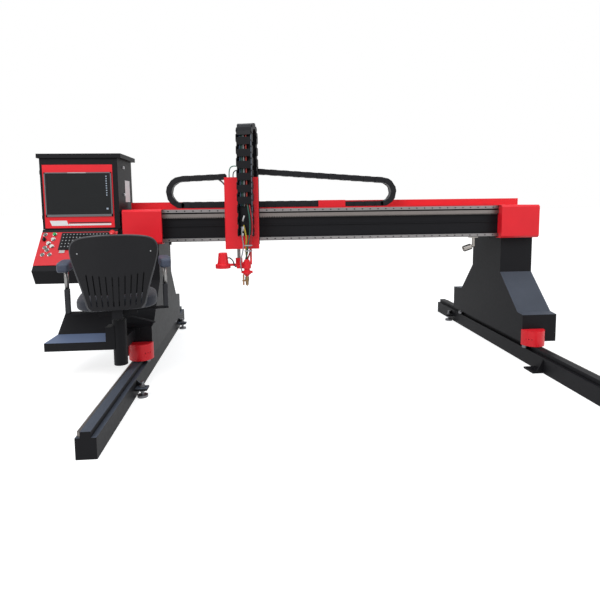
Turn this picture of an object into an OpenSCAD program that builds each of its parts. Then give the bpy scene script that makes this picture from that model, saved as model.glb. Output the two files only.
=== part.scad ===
// Gantry torch cutting machine: floor rails, rolling gantry, torch carriage, console and operator's seat.
// X runs along the beam, Y along the floor rails, Z is up, and the floor is at z = 0.
// Modules draw in the gantry's own frame, with x = 0 midway between the rails; placed() moves them home.

/* [Floor rails] */
// Length of each floor rail
rail_len = 2680; // [2400:10:4000]
// Distance between the two track bars
gauge = 2800; // [2700:10:3200]
// Width of the rail's box section
rail_w = 100; // [96:1:110]
// Height of the rail's box section
rail_h = 106; // [100:1:112]
// Wall of the rail's box section
rail_wall = 8; // [5:0.5:10]
// Width of the track bar
bar_w = 50; // [46:1:54]
// Height of the track bar
bar_h = 30; // [28:1:34]
// Height of the floor rack's body and teeth
rack_h = 24; // [20:1:26]
// Width of the floor rack, over its teeth
rack_w = 22; // [20:0.5:24]
// Tooth module of the racks and pinions
tooth_m = 4; // [3:0.5:5]

/* [Levelling feet] */
// Diameter of the levelling bolts
foot_bolt_d = 20; // [16:1:24]
// Diameter of the floor pads
foot_pad_d = 64; // [50:1:80]
// Thickness of the floor pads
foot_pad_h = 14; // [10:1:18]
// Reach of the lugs from the rail
lug_reach = 74; // [66:1:90]
// Height of the lugs above the floor
lug_z = 48; // [40:1:60]
// Thickness of the lugs and the anchor plate
lug_t = 12; // [8:1:16]

/* [Legs] */
// Width of a leg housing
leg_w = 254; // [240:1:270]
// Outward shift of the leg's middle from the track bar
leg_shift = 38; // [34:1:46]
// Sheet thickness of the leg housings
leg_wall = 6; // [4:0.5:8]
// Height of the leg's open bottom edge
leg_bottom = 160; // [158:1:164]
// Height of the beam seat on top of the leg
leg_top = 905; // [850:5:1000]
// Front face of the leg's foot
foot_front = -315; // [-330:1:-300]
// Back face of the leg's foot
foot_back = 850; // [820:1:880]
// Height of the ledges on the foot
ledge_z = 362; // [350:1:380]
// Where the front slope lands on the foot
front_ledge = -243; // [-260:1:-230]
// Where the back slope lands on the foot
back_ledge = 690; // [660:1:720]
// Front face of the column
column_front = 15; // [5:1:25]
// Back face of the column
column_back = 477; // [440:1:510]
// Height where the column starts to flare
flare_z = 625; // [580:5:680]

/* [Running gear] */
// Diameter of the wheels
wheel_d = 120; // [112:1:126]
// Width of the wheel's tread
wheel_w = 46; // [40:1:48]
// Diameter of the wheel axles
axle_d = 24; // [20:1:30]
// Place of the front wheels along the rails
front_wheel_y = -205; // [-220:5:-190]
// Place of the rear wheels along the rails
rear_wheel_y = 745; // [720:5:760]
// Thickness of the truck's base plate
truck_t = 20; // [16:1:24]
// Diameter of the side guide rollers
roller_d = 40; // [36:1:44]
// Teeth on the floor pinions
drive_teeth = 18; // [17:1:20]
// Place of the drive motors along the rails
drive_y = 268; // [200:2:330]
// Width of the drive gearbox
gearbox_w = 100; // [90:1:110]
// Width of the drive motor
motor_w = 86; // [70:1:88]
// Radius of the nose guards
guard_r = 82; // [70:1:86]
// Height of the nose guards
guard_h = 110; // [90:1:120]

/* [Beam] */
// Height of the beam's box section
beam_h = 235; // [228:1:240]
// Depth of the beam's box section
beam_d = 300; // [270:5:330]
// Wall of the beam's box section
beam_wall = 8; // [5:0.5:10]
// Width of the linear guide rails
guide_w = 23; // [22:0.5:25]
// Height of the linear guide rails
guide_t = 22; // [20:0.5:24]
// Spacing of the guide rail's bolts
guide_pitch = 60; // [50:1:80]
// Diameter of the guide rail's bolt recesses
guide_hole_d = 11; // [9:0.5:13]
// Height of the rack strip on the beam
beam_rack_h = 33; // [30:1:36]
// Reach of the end covers in front of the beam
cover_reach = 85; // [70:1:95]
// Width of the end covers
cover_w = 297; // [285:1:310]
// Sheet thickness of covers and tray
sheet_t = 3; // [2:0.5:4]
// Height of the chain tray's back wall
tray_h = 60; // [50:1:75]
// Depth of the chain tray
tray_d = 160; // [140:1:180]

/* [Carriage] */
// Place of the carriage along the beam, from the middle
carriage_x = -690; // [-900:5:600]
// Width of the carriage plate
carriage_w = 250; // [246:1:270]
// Thickness of the carriage plate
plate_t = 20; // [15:1:22]
// Width of the red front cover
hood_w = 240; // [236:1:244]
// Height of the red front cover
hood_h = 508; // [500:1:530]
// Depth of the red front cover
hood_d = 109; // [107:0.5:115]
// Teeth on the carriage pinion
carriage_teeth = 16; // [14:1:18]
// Width of the carriage motor
carriage_motor_w = 80; // [70:1:84]
// Diameter of the lift screw
screw_d = 16; // [12:1:20]

/* [Torch] */
// Diameter of the lift shaft
shaft_d = 24; // [20:1:26]
// Diameter of the torch barrel
torch_d = 41; // [36:1:44]
// Length of the torch barrel
torch_len = 112; // [96:1:130]
// Diameter of the collar round the barrel
collar_d = 60; // [52:1:66]
// Diameter of the sensor lamp's flange
lamp_d = 106; // [90:1:116]
// Outside diameter of the gas hoses
hose_d = 11; // [8:0.5:13]

/* [Drag chains] */
// Height of a beam chain link
chain_h = 42; // [36:1:46]
// Width of a beam chain link
chain_w = 72; // [60:1:80]
// Pitch of the chain links
chain_pitch = 44; // [40:1:50]
// Bend radius of the beam chains
chain_r = 105; // [98:1:112]
// Width of the lift chain
lift_chain_w = 112; // [100:1:124]
// Height of a lift chain link
lift_chain_h = 40; // [34:1:44]
// Bend radius of the lift chain
lift_chain_r = 70; // [66:1:76]
// Turn of the lift chain about the vertical
lift_turn = -15; // [-18:1:0]

/* [Console] */
// Width of the console cabinet
cabinet_w = 531; // [500:1:560]
// Height of the console cabinet
cabinet_h = 498; // [490:1:540]
// Depth of the cabinet behind its door
cabinet_d = 330; // [280:5:360]
// Thickness of the door
door_t = 40; // [32:1:46]
// Overhang of the roof at the left, front and back
roof_lip = 14; // [12:1:20]
// Overhang of the roof at the right
roof_reach = 28; // [14:1:34]
// Thickness of the roof
roof_t = 30; // [24:1:36]
// Fascia left at each side of the monitor
monitor_side = 9; // [7:0.5:16]
// Fascia left above the monitor
monitor_head = 53; // [40:1:70]
// Fascia left below the monitor
monitor_foot = 80; // [60:1:100]
// Diameter of the push buttons
button_d = 22; // [18:1:26]
// Travel of the push buttons
button_travel = 4; // [2:0.5:6]

/* [Footrest] */
// Width of the footrest
footrest_w = 457; // [420:1:480]
// Depth of the tread
tread_d = 223; // [200:1:240]
// Height of the tread
tread_z = 265; // [240:1:285]

/* [Seat] */
// Diameter of the seat post
post_d = 84; // [76:1:96]
// Height of the seat post's top
post_top = 470; // [440:1:490]
// Diameter of the gas lift's rod
rod_d = 27; // [22:1:32]
// Width of the seat cushion
cushion_w = 470; // [440:1:490]
// Depth of the seat cushion
cushion_d = 440; // [420:1:450]
// Thickness of the seat cushion
cushion_t = 105; // [80:1:120]
// Width of the back shell
back_w = 488; // [470:1:500]
// Height of the back shell
back_h = 435; // [410:1:460]
// Thickness of the back shell
back_t = 8; // [6:0.5:10]
// Turn of the seat on its post
seat_turn = 14; // [-20:1:30]

/* [Hidden] */
$fn = 48;

// Clearances
run_gap = 0.05;      // shaft in a bore, radial
rest_gap = 0.3;      // faces that pass each other
mesh_gap = 0.5;      // rack and pinion backlash, along the centre distance
over = 1;            // overshoot of a cut past a face

// Colours
black = [0.09, 0.09, 0.10];
red = [0.80, 0.09, 0.10];
steel = [0.62, 0.63, 0.65];
chrome = [0.82, 0.83, 0.85];
brass = [0.75, 0.55, 0.22];
rubber = [0.13, 0.13, 0.14];
grey_blue = [0.25, 0.28, 0.34];

// Heights and places that several pieces share
bar_top = rail_h + bar_h;
leg_in = gauge / 2 + leg_shift - leg_w / 2;
leg_out = leg_in + leg_w;
wheel_z = bar_top + rest_gap + wheel_d / 2;
truck_z = leg_bottom + 5;
tooth_pitch = PI * tooth_m;
rack_x = bar_w / 2;
drive_r = drive_teeth * tooth_m / 2;
drive_x = gauge / 2 + rack_x + rack_w - tooth_m + drive_r + mesh_gap;
beam_end = leg_out - 30;
beam_top = leg_top + beam_h;
beam_front = column_front;
guide_front = beam_front - guide_t;
upper_guide_z = beam_top - 8;
lower_guide_z = leg_top + 15;
cover_in = leg_out - cover_w;
left_cover_out = leg_out - 22;
guide_len = 2 * cover_in + 20;
rack_top_z = upper_guide_z - guide_w / 2 - 10;
rack_tip_z = rack_top_z - beam_rack_h;
carriage_r = carriage_teeth * tooth_m / 2;
carriage_pinion_x = carriage_x + 70;
carriage_pinion_z = rack_tip_z + tooth_m - carriage_r - mesh_gap;
block_top = beam_front - 36;
plate_front = block_top - plate_t;
hood_front = plate_front - hood_d;
hood_z = leg_top - 45;
hood_top = hood_z + hood_h;
lip_z = leg_top + 116;
shaft_x = carriage_x - 29;
shaft_y = plate_front - 39;
screw_y = shaft_y - 38;
screw_low = hood_z + 70;
screw_high = hood_top - 108;
torch_x = shaft_x + 58;
torch_y = hood_front - 30;
cover_z = leg_top - 7;
cover_top = beam_top + 8;
tray_y = beam_front + 25;
chain_y = tray_y + 18;
chain_low = cover_top + chain_h / 2 + rest_gap;
chain_high = chain_low + 2 * chain_r;
anchor_x = -12;
anchor_w = 206;
left_bend_x = -1131;
right_bend_x = 392;
right_rise = 54;
lift_front_y = hood_front - 15 - lift_chain_h / 2;
lift_back_y = lift_front_y + 2 * lift_chain_r;
lift_low = leg_top + 55;
lift_bend_z = hood_top + 280;
lift_x = carriage_x + 28;
lift_back = [lift_x - 2 * lift_chain_r * sin(lift_turn), lift_front_y + 2 * lift_chain_r * cos(lift_turn)];
cabinet_right = -leg_out + 6;
cabinet_left = cabinet_right - cabinet_w;
desk_left = cabinet_left - 5;
desk_right = -leg_out - 10;
door_front = -70;
cabinet_front = door_front + door_t;
cabinet_z = 1016;
cabinet_top = cabinet_z + cabinet_h;
hinge_x = cabinet_left - 7;
hinge_y = cabinet_front;
fascia_z = [cabinet_z + 9, cabinet_top - 46];
fascia_x = [cabinet_left + 18, cabinet_right - 36];
monitor_x = (fascia_x[0] + fascia_x[1]) / 2 + 2;
monitor_z = fascia_z[0] + monitor_foot;
monitor_w = fascia_x[1] - fascia_x[0] - 2 * monitor_side;
monitor_h = fascia_z[1] - monitor_head - monitor_z;
panel_top = [-76, 994];
panel_low = [-243, 781];
panel_tilt = atan2(panel_top[1] - panel_low[1], panel_top[0] - panel_low[0]);
panel_len = norm(panel_top - panel_low);
panel_t = 4;
footrest_front = -320;
seat_x = -gauge / 2 - 60;
seat_y = -530;
seat_z = post_top + 50;
seat_plate_t = 28;
cushion_z = seat_z + seat_plate_t;
back_z = cushion_z + 28;
back_y = -240;
back_curve = 420;
left_reach = -cabinet_left + roof_lip;
gantry_x = (left_reach - leg_out) / 2;

// A box between two opposite corners
module block(from, to) {
    translate(from) cube(to - from);
}

// A profile of [y, z] points drawn out along X
module along_x(x0, x1) {
    translate([x0, 0, 0]) rotate([90, 0, 90]) linear_extrude(x1 - x0) children();
}

// A profile of [x, z] points drawn out along Y
module along_y(y0, y1) {
    translate([0, y1, 0]) rotate([90, 0, 0]) linear_extrude(y1 - y0) children();
}

// A cylinder along X or Y
module rod_x(x0, x1, y, z, d) {
    translate([x0, y, z]) rotate([0, 90, 0]) cylinder(d = d, h = x1 - x0);
}
module rod_y(y0, y1, x, z, d) {
    translate([x, y0, z]) rotate([-90, 0, 0]) cylinder(d = d, h = y1 - y0);
}

// The same piece on both sides of the gantry
module both_sides() {
    children();
    mirror([1, 0, 0]) children();
}

// A mitred inset of a closed outline whose points run counter-clockwise
function unit(v) = v / norm(v);
function left_of(v) = [-v[1], v[0]];
function inset(p, d) = [
    for (i = [0 : len(p) - 1])
        let (a = unit(p[i] - p[(i + len(p) - 1) % len(p)]),
             b = unit(p[(i + 1) % len(p)] - p[i]),
             n = left_of(a), m = left_of(b))
        p[i] + d * (n + m) / (1 + n * m)];

// Straight rack teeth: an outline from x = 0 to the tips at x = width, along y
function rack_outline(length, width) =
    let (m = tooth_m, n = floor(length / tooth_pitch) - 1, low = width - 2.25 * m,
         half_tip = PI * m / 4 - m * tan(20) - 0.15 * m, half_root = PI * m / 4 + 1.25 * m * tan(20) - 0.15 * m)
    concat([[0, -length / 2], [low, -length / 2]],
           [for (i = [0 : n - 1], s = [0 : 3])
               let (c = (i - (n - 1) / 2) * tooth_pitch)
               [s == 0 || s == 3 ? low : width,
                c + [-half_root, -half_tip, half_tip, half_root][s]]],
           [[low, length / 2], [0, length / 2]]);
function rack_count(length) = floor(length / tooth_pitch) - 1;

// Pinion outline whose tooth gap faces a rack tooth at the angle face
function pinion_outline(teeth, face) =
    let (m = tooth_m, r = teeth * m / 2, step = 360 / teeth)
    [for (i = [0 : teeth - 1], s = [0 : 3])
        let (a = face + (i + 0.5) * step + [-0.36, -0.15, 0.15, 0.36][s] * step,
             rr = s == 0 || s == 3 ? r - 1.25 * m : r + m)
        rr * [cos(a), sin(a)]];

// Links of a drag chain along a list of joint points, as one notched outline; ends are the end faces' directions
function side_of(p, i) = unit(left_of(p[i + 1] - p[i]));
function joint_side(p, i) =
    let (n = side_of(p, i - 1), m = side_of(p, i))
    (n + m) / (1 + n * m);
function chain_side(p, reach, ends) =
    let (n = len(p) - 1, inner = reach - sign(reach) * notch)
    concat([p[0] + reach * ends[0]],
           [for (i = [1 : n - 1], s = [0 : 2])
               s == 0 ? p[i] - link_gap * unit(p[i] - p[i - 1]) + reach * side_of(p, i - 1)
               : s == 1 ? p[i] + inner * joint_side(p, i)
               : p[i] + link_gap * unit(p[i + 1] - p[i]) + reach * side_of(p, i)],
           [p[n] + reach * ends[1]]);
function reversed(p) = [for (i = [len(p) - 1 : -1 : 0]) p[i]];
function chain_outline(p, h, ends) =
    concat(chain_side(p, h / 2, ends), reversed(chain_side(p, -h / 2, ends)));
function straight_links(a, b, pitch) =
    let (n = max(1, round(norm(b - a) / pitch)))
    [for (i = [0 : n]) a + (b - a) * i / n];
function arc_links(c, r, a0, a1, n) = [
    for (i = [0 : n]) let (a = a0 + (a1 - a0) * i / n) c + r * [cos(a), sin(a)]];

// A round tube swept along points, with rings square to the path
function tube_dir(p, i) = unit(p[min(i + 1, len(p) - 1)] - p[max(i - 1, 0)]);
function tube_ring(p, i, r, sides) =
    let (t = tube_dir(p, i),
         u = unit(cross(t, abs(t[1]) < 0.8 ? [0, 1, 0] : [1, 0, 0])), w = cross(t, u))
    [for (k = [0 : sides - 1]) let (a = 360 * k / sides) p[i] + r * (cos(a) * u + sin(a) * w)];
module tube(p, d, sides = 8) {
    points = [for (i = [0 : len(p) - 1]) each tube_ring(p, i, d / 2, sides)];
    walls = [for (i = [0 : len(p) - 2], k = [0 : sides - 1])
        let (a = i * sides + k, b = i * sides + (k + 1) % sides)
        [a, a + sides, b + sides, b]];
    low = [for (k = [0 : sides - 1]) k];
    high = [for (k = [sides - 1 : -1 : 0]) (len(p) - 1) * sides + k];
    polyhedron(points, concat(walls, [low, high]));
}

// Floor rails
lug_x = rail_w / 2;
foot_hole_x = lug_x + lug_reach - 34;
left_feet = [-630, 960];
right_feet = [960];
anchor_y = -460;
anchor_plate_w = 110;

module rail_body() {
    along = rail_len / 2;
    cap = 6;
    difference() {
        union() {
            along_y(-along, along) translate([-rail_w / 2, 0]) square([rail_w, rail_h]);
            along_y(-along, along) translate([-bar_w / 2, rail_h]) square([bar_w, bar_h]);
        }
        block([-rail_w / 2 + rail_wall, -along + cap, rail_wall],
              [rail_w / 2 - rail_wall, along - cap, rail_h - rail_wall]);
    }
}

// Lug with a gusset, on the rail's inner side, which here faces +X
module foot_lug(y) {
    difference() {
        block([lug_x, y - 32, lug_z], [lug_x + lug_reach, y + 32, lug_z + lug_t]);
        translate([foot_hole_x, y, lug_z - over]) cylinder(d = foot_bolt_d + 2 * run_gap, h = lug_t + 2 * over);
    }
    along_y(y + 24, y + 32)
        polygon([[lug_x, lug_z + lug_t], [foot_hole_x, lug_z + lug_t], [lug_x, rail_h - rail_wall]]);
}

// Plate that anchors the right rail to the floor
module anchor_plate(y) {
    difference() {
        block([lug_x, y - anchor_plate_w / 2, 0], [lug_x + lug_reach, y + anchor_plate_w / 2, lug_t]);
        translate([foot_hole_x, y, -over]) cylinder(d = foot_bolt_d - 2, h = lug_t + 2 * over);
    }
    along_y(y - anchor_plate_w / 2, y - anchor_plate_w / 2 + 8)
        polygon([[lug_x, lug_t], [lug_x + lug_reach * 0.6, lug_t], [lug_x, rail_h - rail_wall]]);
}

module left_rail() {
    color(black) translate([-gauge / 2, 0, 0]) {
        rail_body();
        for (y = left_feet) foot_lug(y);
    }
}

module right_rail() {
    color(black) translate([gauge / 2, 0, 0]) mirror([1, 0, 0]) {
        rail_body();
        for (y = right_feet) foot_lug(y);
        anchor_plate(anchor_y);
    }
}

module track_racks() {
    color(steel) both_sides()
        translate([gauge / 2 + rack_x, 0, rail_h])
            linear_extrude(rack_h) polygon(rack_outline(rail_len - 20, rack_w));
}

// Bolt, two nuts and a round pad under a lug
module levelling_foot(x, y) {
    nut_h = 14;
    translate([x, y, 0]) {
        cylinder(d = foot_pad_d, h = foot_pad_h);
        translate([0, 0, foot_pad_h]) cylinder(d = foot_bolt_d, h = lug_z + lug_t + 38 - foot_pad_h);
        translate([0, 0, lug_z + lug_t]) cylinder(d = foot_bolt_d * 1.7, h = nut_h, $fn = 6);
        translate([0, 0, lug_z - nut_h]) cylinder(d = foot_bolt_d * 1.7, h = nut_h, $fn = 6);
    }
}

module levelling_feet() {
    color(steel) {
        for (y = left_feet) levelling_foot(-gauge / 2 + foot_hole_x, y);
        for (y = right_feet) levelling_foot(gauge / 2 - foot_hole_x, y);
    }
}

// Legs: one welded sheet housing each, open underneath
leg_outline = [[foot_front, leg_bottom], [foot_back, leg_bottom], [foot_back, ledge_z],
               [back_ledge, ledge_z + 12], [column_back, flare_z], [column_back, leg_top],
               [column_front, leg_top], [column_front, flare_z], [front_ledge, ledge_z + 4],
               [foot_front, ledge_z - 4]];
module leg() {
    room = inset(leg_outline, leg_wall);
    open_room = [for (p = room) p[1] < leg_bottom + 2 * leg_wall ? [p[0], leg_bottom - over] : p];
    difference() {
        along_x(leg_in, leg_out) polygon(leg_outline);
        along_x(leg_in + leg_wall, leg_out - leg_wall) polygon(open_room);
    }
}

module left_leg() {
    color(black) mirror([1, 0, 0]) leg();
}

module right_leg() {
    color(black) leg();
}

// Truck: base plate inside the foot of the leg, cheeks and pressed axles for the two wheels
cheek_in = wheel_w / 2 + 4;
cheek_t = 12;
cheek_l = 70;
shaft_hole_d = 44;
drive_shaft_d = 20;
module truck() {
    slot_l = wheel_d + 10;
    difference() {
        block([leg_in + leg_wall, foot_front + leg_wall, truck_z],
              [leg_out - leg_wall, foot_back - leg_wall, truck_z + truck_t]);
        for (y = [front_wheel_y, rear_wheel_y])
            block([gauge / 2 - cheek_in, y - slot_l / 2, truck_z - over],
                  [gauge / 2 + cheek_in, y + slot_l / 2, truck_z + truck_t + over]);
        translate([drive_x, drive_y, truck_z - over]) cylinder(d = shaft_hole_d, h = truck_t + 2 * over);
    }
    for (y = [front_wheel_y, rear_wheel_y]) {
        for (s = [-1, 1])
            translate([gauge / 2 + s * (cheek_in + cheek_t / 2), y, 0])
                block([-cheek_t / 2, -cheek_l / 2, truck_z + truck_t], [cheek_t / 2, cheek_l / 2, wheel_z + axle_d]);
        rod_x(gauge / 2 - cheek_in - cheek_t, gauge / 2 + cheek_in + cheek_t, y, wheel_z, axle_d);
    }
}

module trucks() {
    color(steel) both_sides() truck();
}

// Wheel with a dished web and a bored hub
module wheel(side, y) {
    hub_d = axle_d + 28;
    rim = 14;
    hub_half = cheek_in - rest_gap;
    web = 8;
    color(steel) translate([side * gauge / 2, y, wheel_z]) rotate([0, 90, 0])
        rotate_extrude($fn = 96) polygon([
            [axle_d / 2 + run_gap, -hub_half], [hub_d / 2, -hub_half], [hub_d / 2, -web],
            [wheel_d / 2 - rim, -web], [wheel_d / 2 - rim, -wheel_w / 2], [wheel_d / 2 - 2, -wheel_w / 2],
            [wheel_d / 2, -wheel_w / 2 + 2], [wheel_d / 2, wheel_w / 2 - 2], [wheel_d / 2 - 2, wheel_w / 2],
            [wheel_d / 2 - rim, wheel_w / 2], [wheel_d / 2 - rim, web], [hub_d / 2, web],
            [hub_d / 2, hub_half], [axle_d / 2 + run_gap, hub_half]]);
}

// Cam rollers that hold the trucks sideways on the track bar
roller_y = [foot_front + 32, foot_back - 60];
roller_low = rail_h + 4;
roller_high = bar_top - 4;
module guide_rollers() {
    stud_d = 16;
    color(steel) both_sides() for (y = roller_y)
        translate([gauge / 2 - bar_w / 2 - roller_d / 2 - rest_gap, y, 0])
            rotate_extrude() polygon([
                [0, roller_low - 3], [stud_d / 2 + 3, roller_low - 3], [stud_d / 2 + 3, roller_low],
                [roller_d / 2 - 1, roller_low], [roller_d / 2, roller_low + 1],
                [roller_d / 2, roller_high - 1], [roller_d / 2 - 1, roller_high],
                [stud_d / 2, roller_high], [stud_d / 2, truck_z], [0, truck_z]]);
}

// Half-round guards in front of the trucks
guard_x = gauge / 2 - 15;
guard_z = bar_top + 9;
module nose_guards() {
    t = 5;
    color(red) both_sides() translate([guard_x, foot_front, guard_z]) difference() {
        cylinder(r = guard_r, h = guard_h, $fn = 96);
        translate([0, 0, -over]) cylinder(r = guard_r - t, h = guard_h - t + over, $fn = 96);
        block([-guard_r - over, 0, -over], [guard_r + over, guard_r + over, guard_h + over]);
        for (k = [-1 : 1]) rotate([0, 0, 225 + 14 * k])
            rod_x(guard_r - 2 * t, guard_r + over, 0, guard_h * 0.45, 7);
    }
}

// Drive motors with their gearboxes, upright on the trucks
gearbox_h = 92;
motor_h = 165;
module drive_motors() {
    base = truck_z + truck_t;
    color(rubber) both_sides() translate([drive_x, drive_y, base]) difference() {
        union() {
            block([-gearbox_w / 2, -gearbox_w / 2, 0], [gearbox_w / 2, gearbox_w / 2, gearbox_h]);
            translate([0, 0, gearbox_h]) cylinder(d = motor_w - 8, h = 10);
            block([-motor_w / 2, -motor_w / 2, gearbox_h + 10], [motor_w / 2, motor_w / 2, gearbox_h + motor_h]);
        }
        translate([0, 0, -over]) cylinder(d = drive_shaft_d + 2 * run_gap, h = 50 + over);
    }
}

// Floor pinion with its shaft, which runs in the gearbox
module floor_pinion(side) {
    face = side > 0 ? 180 : 0;
    odd = rack_count(rail_len - 20) % 2;
    phase = drive_y / tooth_pitch - (odd == 1 ? 0 : 0.5);
    turn = side * (phase - floor(phase)) * 360 / drive_teeth;
    color(steel) translate([side * drive_x, drive_y, 0]) {
        translate([0, 0, rail_h + 1]) linear_extrude(rack_h - 2)
            polygon(pinion_outline(drive_teeth, face + turn));
        translate([0, 0, rail_h + rack_h - 1]) cylinder(d = drive_shaft_d, h = truck_z + truck_t + 46 - rail_h - rack_h);
    }
}

// Beam: box tube on the two legs, with a folded lip along its front
module beam() {
    lip_t = 7;
    color(black) {
        difference() {
            block([-beam_end, beam_front, leg_top], [beam_end, beam_front + beam_d, beam_top]);
            block([-beam_end - over, beam_front + beam_wall, leg_top + beam_wall],
                  [beam_end + over, beam_front + beam_d - beam_wall, beam_top - beam_wall]);
        }
        block([-guide_len / 2, beam_front - lip_t, lip_z - 3], [guide_len / 2, beam_front, lip_z + 3]);
    }
}

// Linear guide rails with their bolt recesses
module guide_rail(z) {
    neck = 4;
    half = guide_w / 2;
    count = floor((guide_len - 40) / guide_pitch);
    difference() {
        along_x(-guide_len / 2, guide_len / 2) polygon([
            [beam_front, z - half], [beam_front, z + half], [beam_front - 8, z + half],
            [beam_front - 11, z + half - neck / 2], [beam_front - 14, z + half],
            [guide_front + 1, z + half], [guide_front, z + half - 1], [guide_front, z - half + 1],
            [guide_front + 1, z - half], [beam_front - 14, z - half],
            [beam_front - 11, z - half + neck / 2], [beam_front - 8, z - half]]);
        for (i = [0 : count])
            rod_y(guide_front - over, guide_front + 9, (i - count / 2) * guide_pitch, z, guide_hole_d);
    }
}

module guide_rails() {
    color(steel) {
        guide_rail(upper_guide_z);
        guide_rail(lower_guide_z);
    }
}

// Rack under the upper guide rail, its teeth down
module beam_rack() {
    color(steel) translate([0, 0, rack_top_z]) along_y(guide_front + 2, beam_front)
        polygon([for (p = rack_outline(guide_len, beam_rack_h)) [p[1], -p[0]]]);
}

// Folded covers over the beam's ends
module end_cover(outer) {
    front = beam_front - cover_reach;
    back = beam_front + beam_d + 14;
    fold = 14;
    skin = [[front, cover_z + fold], [front + fold, cover_z], [beam_front - rest_gap, cover_z],
            [beam_front - rest_gap, leg_top], [back, leg_top], [back, cover_top],
            [front + fold, cover_top], [front, cover_top - fold]];
    hollow = [[front + sheet_t, cover_z + fold + 1], [front + fold + 1, cover_z + sheet_t],
              [beam_front - sheet_t, cover_z + sheet_t], [beam_front - sheet_t, leg_top - over],
              [back - sheet_t, leg_top - over], [back - sheet_t, cover_top - sheet_t],
              [front + fold + 1, cover_top - sheet_t], [front + sheet_t, cover_top - fold - 1]];
    difference() {
        along_x(cover_in, outer) polygon(skin);
        along_x(cover_in - over, outer - sheet_t) polygon(hollow);
    }
}

module end_covers() {
    color(red) {
        end_cover(leg_out);
        mirror([1, 0, 0]) end_cover(left_cover_out);
    }
}

// Tray on the beam that the drag chains lie in, with the anchor for their fixed ends
tray_len = 2 * (cover_in - 12);
anchor_y0 = chain_y - 6;
module chain_tray() {
    half = anchor_w / 2;
    anchor_top = beam_top + tray_h + 2;
    color(red) {
        block([-tray_len / 2, tray_y, cover_top - sheet_t], [tray_len / 2, tray_y + tray_d, cover_top]);
        block([-tray_len / 2, tray_y + tray_d - sheet_t, beam_top], [tray_len / 2, tray_y + tray_d, beam_top + tray_h]);
        block([-tray_len / 2, tray_y, beam_top], [tray_len / 2, tray_y + sheet_t, cover_top + 5]);
        block([anchor_x - half, anchor_y0 - sheet_t, cover_top], [anchor_x + half, anchor_y0, anchor_top]);
        block([anchor_x - half, anchor_y0 - sheet_t, anchor_top - sheet_t], [anchor_x + half, tray_y + tray_d, anchor_top]);
        for (x = [anchor_x - half, anchor_x + half - sheet_t])
            block([x, anchor_y0, cover_top], [x + sheet_t, chain_y + chain_w, anchor_top]);
    }
}

// Spot lamp on an elbow under the right end of the beam
side_lamp_x = 1100;
side_lamp_y = beam_front + 22;
module side_lamp() {
    stem_d = 22;
    head_d = 46;
    drop = 62;
    color(chrome) {
        block([side_lamp_x - 34, side_lamp_y - 22, leg_top - 8], [side_lamp_x + 26, side_lamp_y + 22, leg_top]);
        translate([side_lamp_x, side_lamp_y, leg_top - 8 - drop]) cylinder(d = stem_d, h = drop);
        translate([side_lamp_x, side_lamp_y, leg_top - 8 - drop]) sphere(d = stem_d + 2);
        translate([side_lamp_x, side_lamp_y, leg_top - 8 - drop]) rotate([0, -108, 0])
            rotate_extrude() polygon([[0, 0], [stem_d / 2, 0], [stem_d / 2, 12], [head_d / 2 - 3, 20],
                [head_d / 2, 24], [head_d / 2, 82], [head_d / 2 - 3, 82], [head_d / 2 - 3, 74], [0, 74]]);
    }
}

// Carriage: plate, bearing brackets for the lift and the arm that takes the chains
plate_z = leg_top - 20;
plate_top = hood_top;
arm_z = chain_high - chain_h / 2 - 14;
arm_t = 10;
bush_t = 18;
journal_d = 10;
module carriage_plate() {
    half = carriage_w / 2;
    color(black) difference() {
        union() {
            block([carriage_x - half, plate_front, plate_z], [carriage_x + half, block_top, plate_top]);
            block([carriage_x - half, plate_front, arm_z], [carriage_x + half, chain_y + chain_w, arm_z + arm_t]);
            block([carriage_x - half, block_top, arm_z - 60], [carriage_x - half + 8, chain_y + chain_w, arm_z]);
            block([carriage_x + half - 8, block_top, arm_z - 60], [carriage_x + half, chain_y + chain_w, arm_z]);
            block([carriage_x - half, chain_y, arm_z], [carriage_x - half + 8, chain_y + chain_w, chain_high + chain_h / 2]);
            block([carriage_x + half - 8, chain_y, arm_z],
                  [carriage_x + half, chain_y + chain_w, chain_high + right_rise + chain_h / 2]);
            for (z = [screw_low - bush_t, screw_high])
                block([shaft_x - 26, screw_y - 22, z], [shaft_x + 26, plate_front, z + bush_t]);
        }
        for (z = [screw_low - bush_t, screw_high])
            translate([shaft_x, screw_y, z - over]) cylinder(d = journal_d + 2 * run_gap, h = bush_t + 2 * over);
        translate([shaft_x, shaft_y, screw_low - bush_t - over])
            cylinder(d = shaft_d + 2 * run_gap, h = bush_t + 2 * over);
        rod_y(plate_front - over, block_top + over, carriage_pinion_x, carriage_pinion_z, 2 * carriage_r + 4 * tooth_m);
    }
}

// Recirculating blocks on the two guide rails
module guide_blocks() {
    length = 80;
    block_w = 58;
    room = guide_w / 2 + rest_gap;
    color(steel) for (x = [carriage_x - 78, carriage_x + 78], z = [upper_guide_z, lower_guide_z])
        difference() {
            block([x - length / 2, block_top, z - block_w / 2], [x + length / 2, beam_front - 4, z + block_w / 2]);
            block([x - length / 2 - over, guide_front - rest_gap, z - room],
                  [x + length / 2 + over, beam_front, z + room]);
            block([x - length / 2 - over, guide_front, z - block_w / 2 - over],
                  [x + length / 2 + over, beam_front, z - guide_w / 2 - 9]);
            block([x - length / 2 - over, guide_front, z + guide_w / 2 + 9],
                  [x + length / 2 + over, beam_front, z + block_w / 2 + over]);
        }
}

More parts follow.
